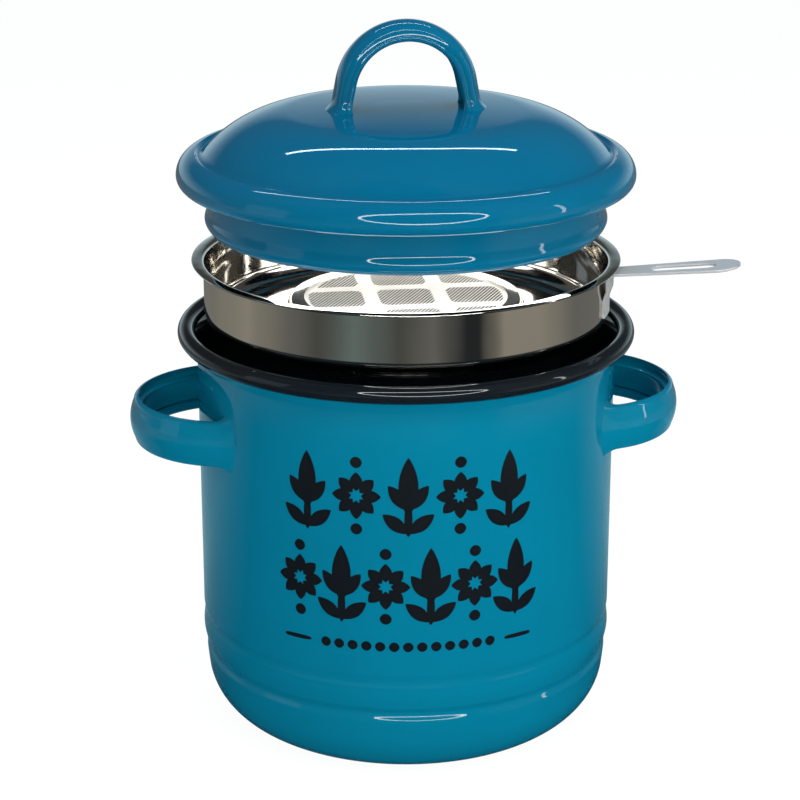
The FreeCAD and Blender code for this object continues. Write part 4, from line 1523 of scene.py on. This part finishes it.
@dataclass
class Studio:
    """Camera, lights, floor and world."""

    sizes: StudioSizes = StudioSizes()
    lens: CameraSizes = CameraSizes()

    def camera(self) -> None:
        """Set the camera at the photo's angle."""
        c = self.lens
        data = bpy.data.cameras.new("photo_camera")
        data.sensor_width = c.sensor_mm
        data.lens = c.focal_px * c.sensor_mm / c.picture_px
        data.clip_end = c.reach
        camera = bpy.data.objects.new("photo_camera", data)
        turn = math.radians(c.turn)
        camera.location = (-math.sin(turn) * c.distance, -math.cos(turn) * c.distance, c.height)
        camera.rotation_euler = (math.radians(90 - c.pitch), 0.0, -turn + c.yaw_radians)
        bpy.context.scene.collection.objects.link(camera)
        bpy.context.scene.camera = camera

    def area(self, lamp: Lamp) -> bpy.types.Object:
        """Add a rectangular softbox.

        Args:
            lamp: What it is and where it stands.

        Returns:
            The light.
        """
        data = bpy.data.lights.new(lamp.name, "AREA")
        data.shape = "RECTANGLE"
        data.size, data.size_y = lamp.size
        data.energy = lamp.power
        data.color = linear(lamp.colour)[:3]
        light = bpy.data.objects.new(lamp.name, data)
        light.location = lamp.place
        facing = Vector(lamp.aim) - Vector(lamp.place)
        light.rotation_euler = facing.to_track_quat("-Z", "Y").to_euler()
        light.visible_glossy = lamp.mirrored
        bpy.context.scene.collection.objects.link(light)
        return light

    def ring(self) -> None:
        """A ring lamp over the camera: its outline shows in the beads' highlights."""
        s = self.sizes
        place = Vector(s.ring_place)
        facing = (Vector(s.ring_aim) - place).normalized()
        right = facing.cross(Vector((0, 0, 1))).normalized()
        high = right.cross(facing)
        points = []
        for i in range(s.ring_parts):
            angle = math.tau * i / s.ring_parts
            points.append(place + right * s.ring_half[0] * math.cos(angle)
                          + high * s.ring_half[1] * math.sin(angle))
        sides = [points[i] - points[i - 1] for i in range(s.ring_parts)]
        tubes = [s.ring_side + (s.ring_top - s.ring_side) * abs(side.normalized().dot(right)) ** 2
                 for side in sides]
        total = sum(side.length * tube for side, tube in zip(sides, tubes))
        for i, (side, tube) in enumerate(zip(sides, tubes)):
            middle = points[i] - side / 2
            lamp = self.area(Lamp("ring_lamp_%02d" % i, tuple(middle), s.ring_aim,
                                  (side.length, tube), s.ring_power * side.length * tube / total))
            side.normalize()
            down = side.cross(facing)
            lamp.rotation_euler = Matrix((side, down, -facing)).transposed().to_euler()

    def lights(self) -> None:
        """Place the lamps round the object."""
        self.ring()
        for lamp in LAMPS:
            light = self.area(lamp)
            if lamp.rides:
                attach(light, lamp.rides.value)

    def surroundings(self, tree: bpy.types.NodeTree,
                     place: bpy.types.NodeSocket) -> bpy.types.NodeSocket:
        """Upright light and dark cards round the table, for reflections only.

        Args:
            tree: The node tree.
            place: A direction or a place to draw the cards over.

        Returns:
            The cards' colour.
        """
        s = self.sizes
        axes = add_node(tree, "ShaderNodeSeparateXYZ", {0: place})
        ahead = maths(tree, "MULTIPLY", axes.outputs["Y"], -1.0)
        angle = maths(tree, "ARCTAN2", axes.outputs["X"], ahead)
        wobble = add_node(tree, "ShaderNodeTexNoise",
                          {"Vector": place, "Scale": s.card_wobble_scale, "Detail": 1.0})
        shaken = maths(tree, "MULTIPLY_ADD", wobble.outputs["Fac"], s.card_wobble, angle)
        share = fade(tree, shaken, (-math.pi, math.pi))
        ramp = add_node(tree, "ShaderNodeValToRGB", {"Fac": share})
        first, *inner, last = CARDS
        for stop, (degrees, card) in zip(ramp.color_ramp.elements, (first, last)):
            stop.position = 0.5 + degrees / 360
            stop.color = card.light()
        for degrees, card in inner:
            ramp.color_ramp.elements.new(0.5 + degrees / 360).color = card.light()
        return ramp.outputs[0]

    def world(self) -> None:
        """White to the camera, even light on matt surfaces, a dim room in reflections."""
        s = self.sizes
        world = bpy.data.worlds.new("studio")
        tree = clear_tree(world)
        path = add_node(tree, "ShaderNodeLightPath")
        place = add_node(tree, "ShaderNodeTexCoord").outputs["Generated"]
        axes = add_node(tree, "ShaderNodeSeparateXYZ", {0: place})
        backdrop = maths(tree, "MULTIPLY", fade(tree, axes.outputs["Z"], s.backdrop_height),
                         fade(tree, axes.outputs["Y"], s.backdrop_depth))
        room = blend(tree, s.room_dim, self.surroundings(tree, place), Shade.NIGHT.light())
        mirrored = blend(tree, backdrop, room, Shade.BACKDROP.light())
        even, glossy, white = (
            add_node(tree, "ShaderNodeBackground", {"Color": colour, "Strength": power}).outputs[0]
            for colour, power in ((Shade.EVEN.light(), s.diffuse), (mirrored, 1.0),
                                  (Shade.WHITE.light(), 1.0)))
        inner = layer(tree, path.outputs["Is Glossy Ray"], even, glossy)
        seen = layer(tree, path.outputs["Is Camera Ray"], inner, white)
        add_node(tree, "ShaderNodeOutputWorld", {"Surface": seen})
        bpy.context.scene.world = world

    def floor(self) -> None:
        """A white table that keeps a soft contact shadow."""
        s = self.sizes
        half = s.table_mm
        obj = new_mesh("table", [(-half, -half, 0), (half, -half, 0), (half, half, 0),
                                 (-half, half, 0)], [[0, 1, 2, 3]])
        obj.location.z = -s.table_drop
        material = bpy.data.materials.new("Paper_white_backdrop")
        tree = clear_tree(material)
        matt = add_node(tree, "ShaderNodeBsdfDiffuse", {"Color": Shade.WHITE.light()})
        glow = add_node(tree, "ShaderNodeEmission", {"Color": Shade.WHITE.light(),
                                                     "Strength": s.table_glow})
        path = add_node(tree, "ShaderNodeLightPath")
        place = add_node(tree, "ShaderNodeTexCoord").outputs["Object"]
        reach = add_node(tree, "ShaderNodeVectorMath", {0: place}, operation="LENGTH")
        axes = add_node(tree, "ShaderNodeSeparateXYZ", {0: place})
        near = blend(tree, fade(tree, axes.outputs["Y"], s.mat_depth), Shade.MAT_NEAR.light(),
                     Shade.MAT_BEHIND.light())
        mat = blend(tree, fade(tree, reach.outputs["Value"], s.mat_edge), near,
                    self.surroundings(tree, place))
        mirror = add_node(tree, "ShaderNodeEmission", {"Color": mat, "Strength": s.table_mirror})
        lift = maths(tree, "MULTIPLY", path.outputs["Is Camera Ray"], s.table_lift)
        seen = layer(tree, lift, matt.outputs[0], glow.outputs[0])
        surface = layer(tree, path.outputs["Is Glossy Ray"], seen, mirror.outputs[0])
        add_node(tree, "ShaderNodeOutputMaterial", {"Surface": surface})
        obj.data.materials.append(material)

    def view(self) -> None:
        """Plain colour handling."""
        settings = bpy.context.scene.view_settings
        settings.view_transform = "Standard"
        settings.look = "None"

    def build(self) -> None:
        """Set up the whole studio."""
        self.camera()
        self.lights()
        self.world()
        self.floor()
        self.view()


def main() -> None:
    """Build every piece and report it."""
    logging.basicConfig(level=logging.INFO, format="%(name)s: %(message)s")
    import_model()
    finishes = Finishes()
    pot = Pot(finishes)
    pieces = pot.build()
    pieces += [SideHandle(finishes, side, pot.size.wall_radius).build() for side in (1, -1)]
    pieces.append(Ornament(finishes).build())
    pieces += Strainer(finishes).build()
    pieces += Lid(finishes).build()
    Studio().build()
    for piece in pieces:
        LOG.info("%s: %d faces", piece.name, len(piece.data.polygons))


if __name__ == "__main__":
    main()
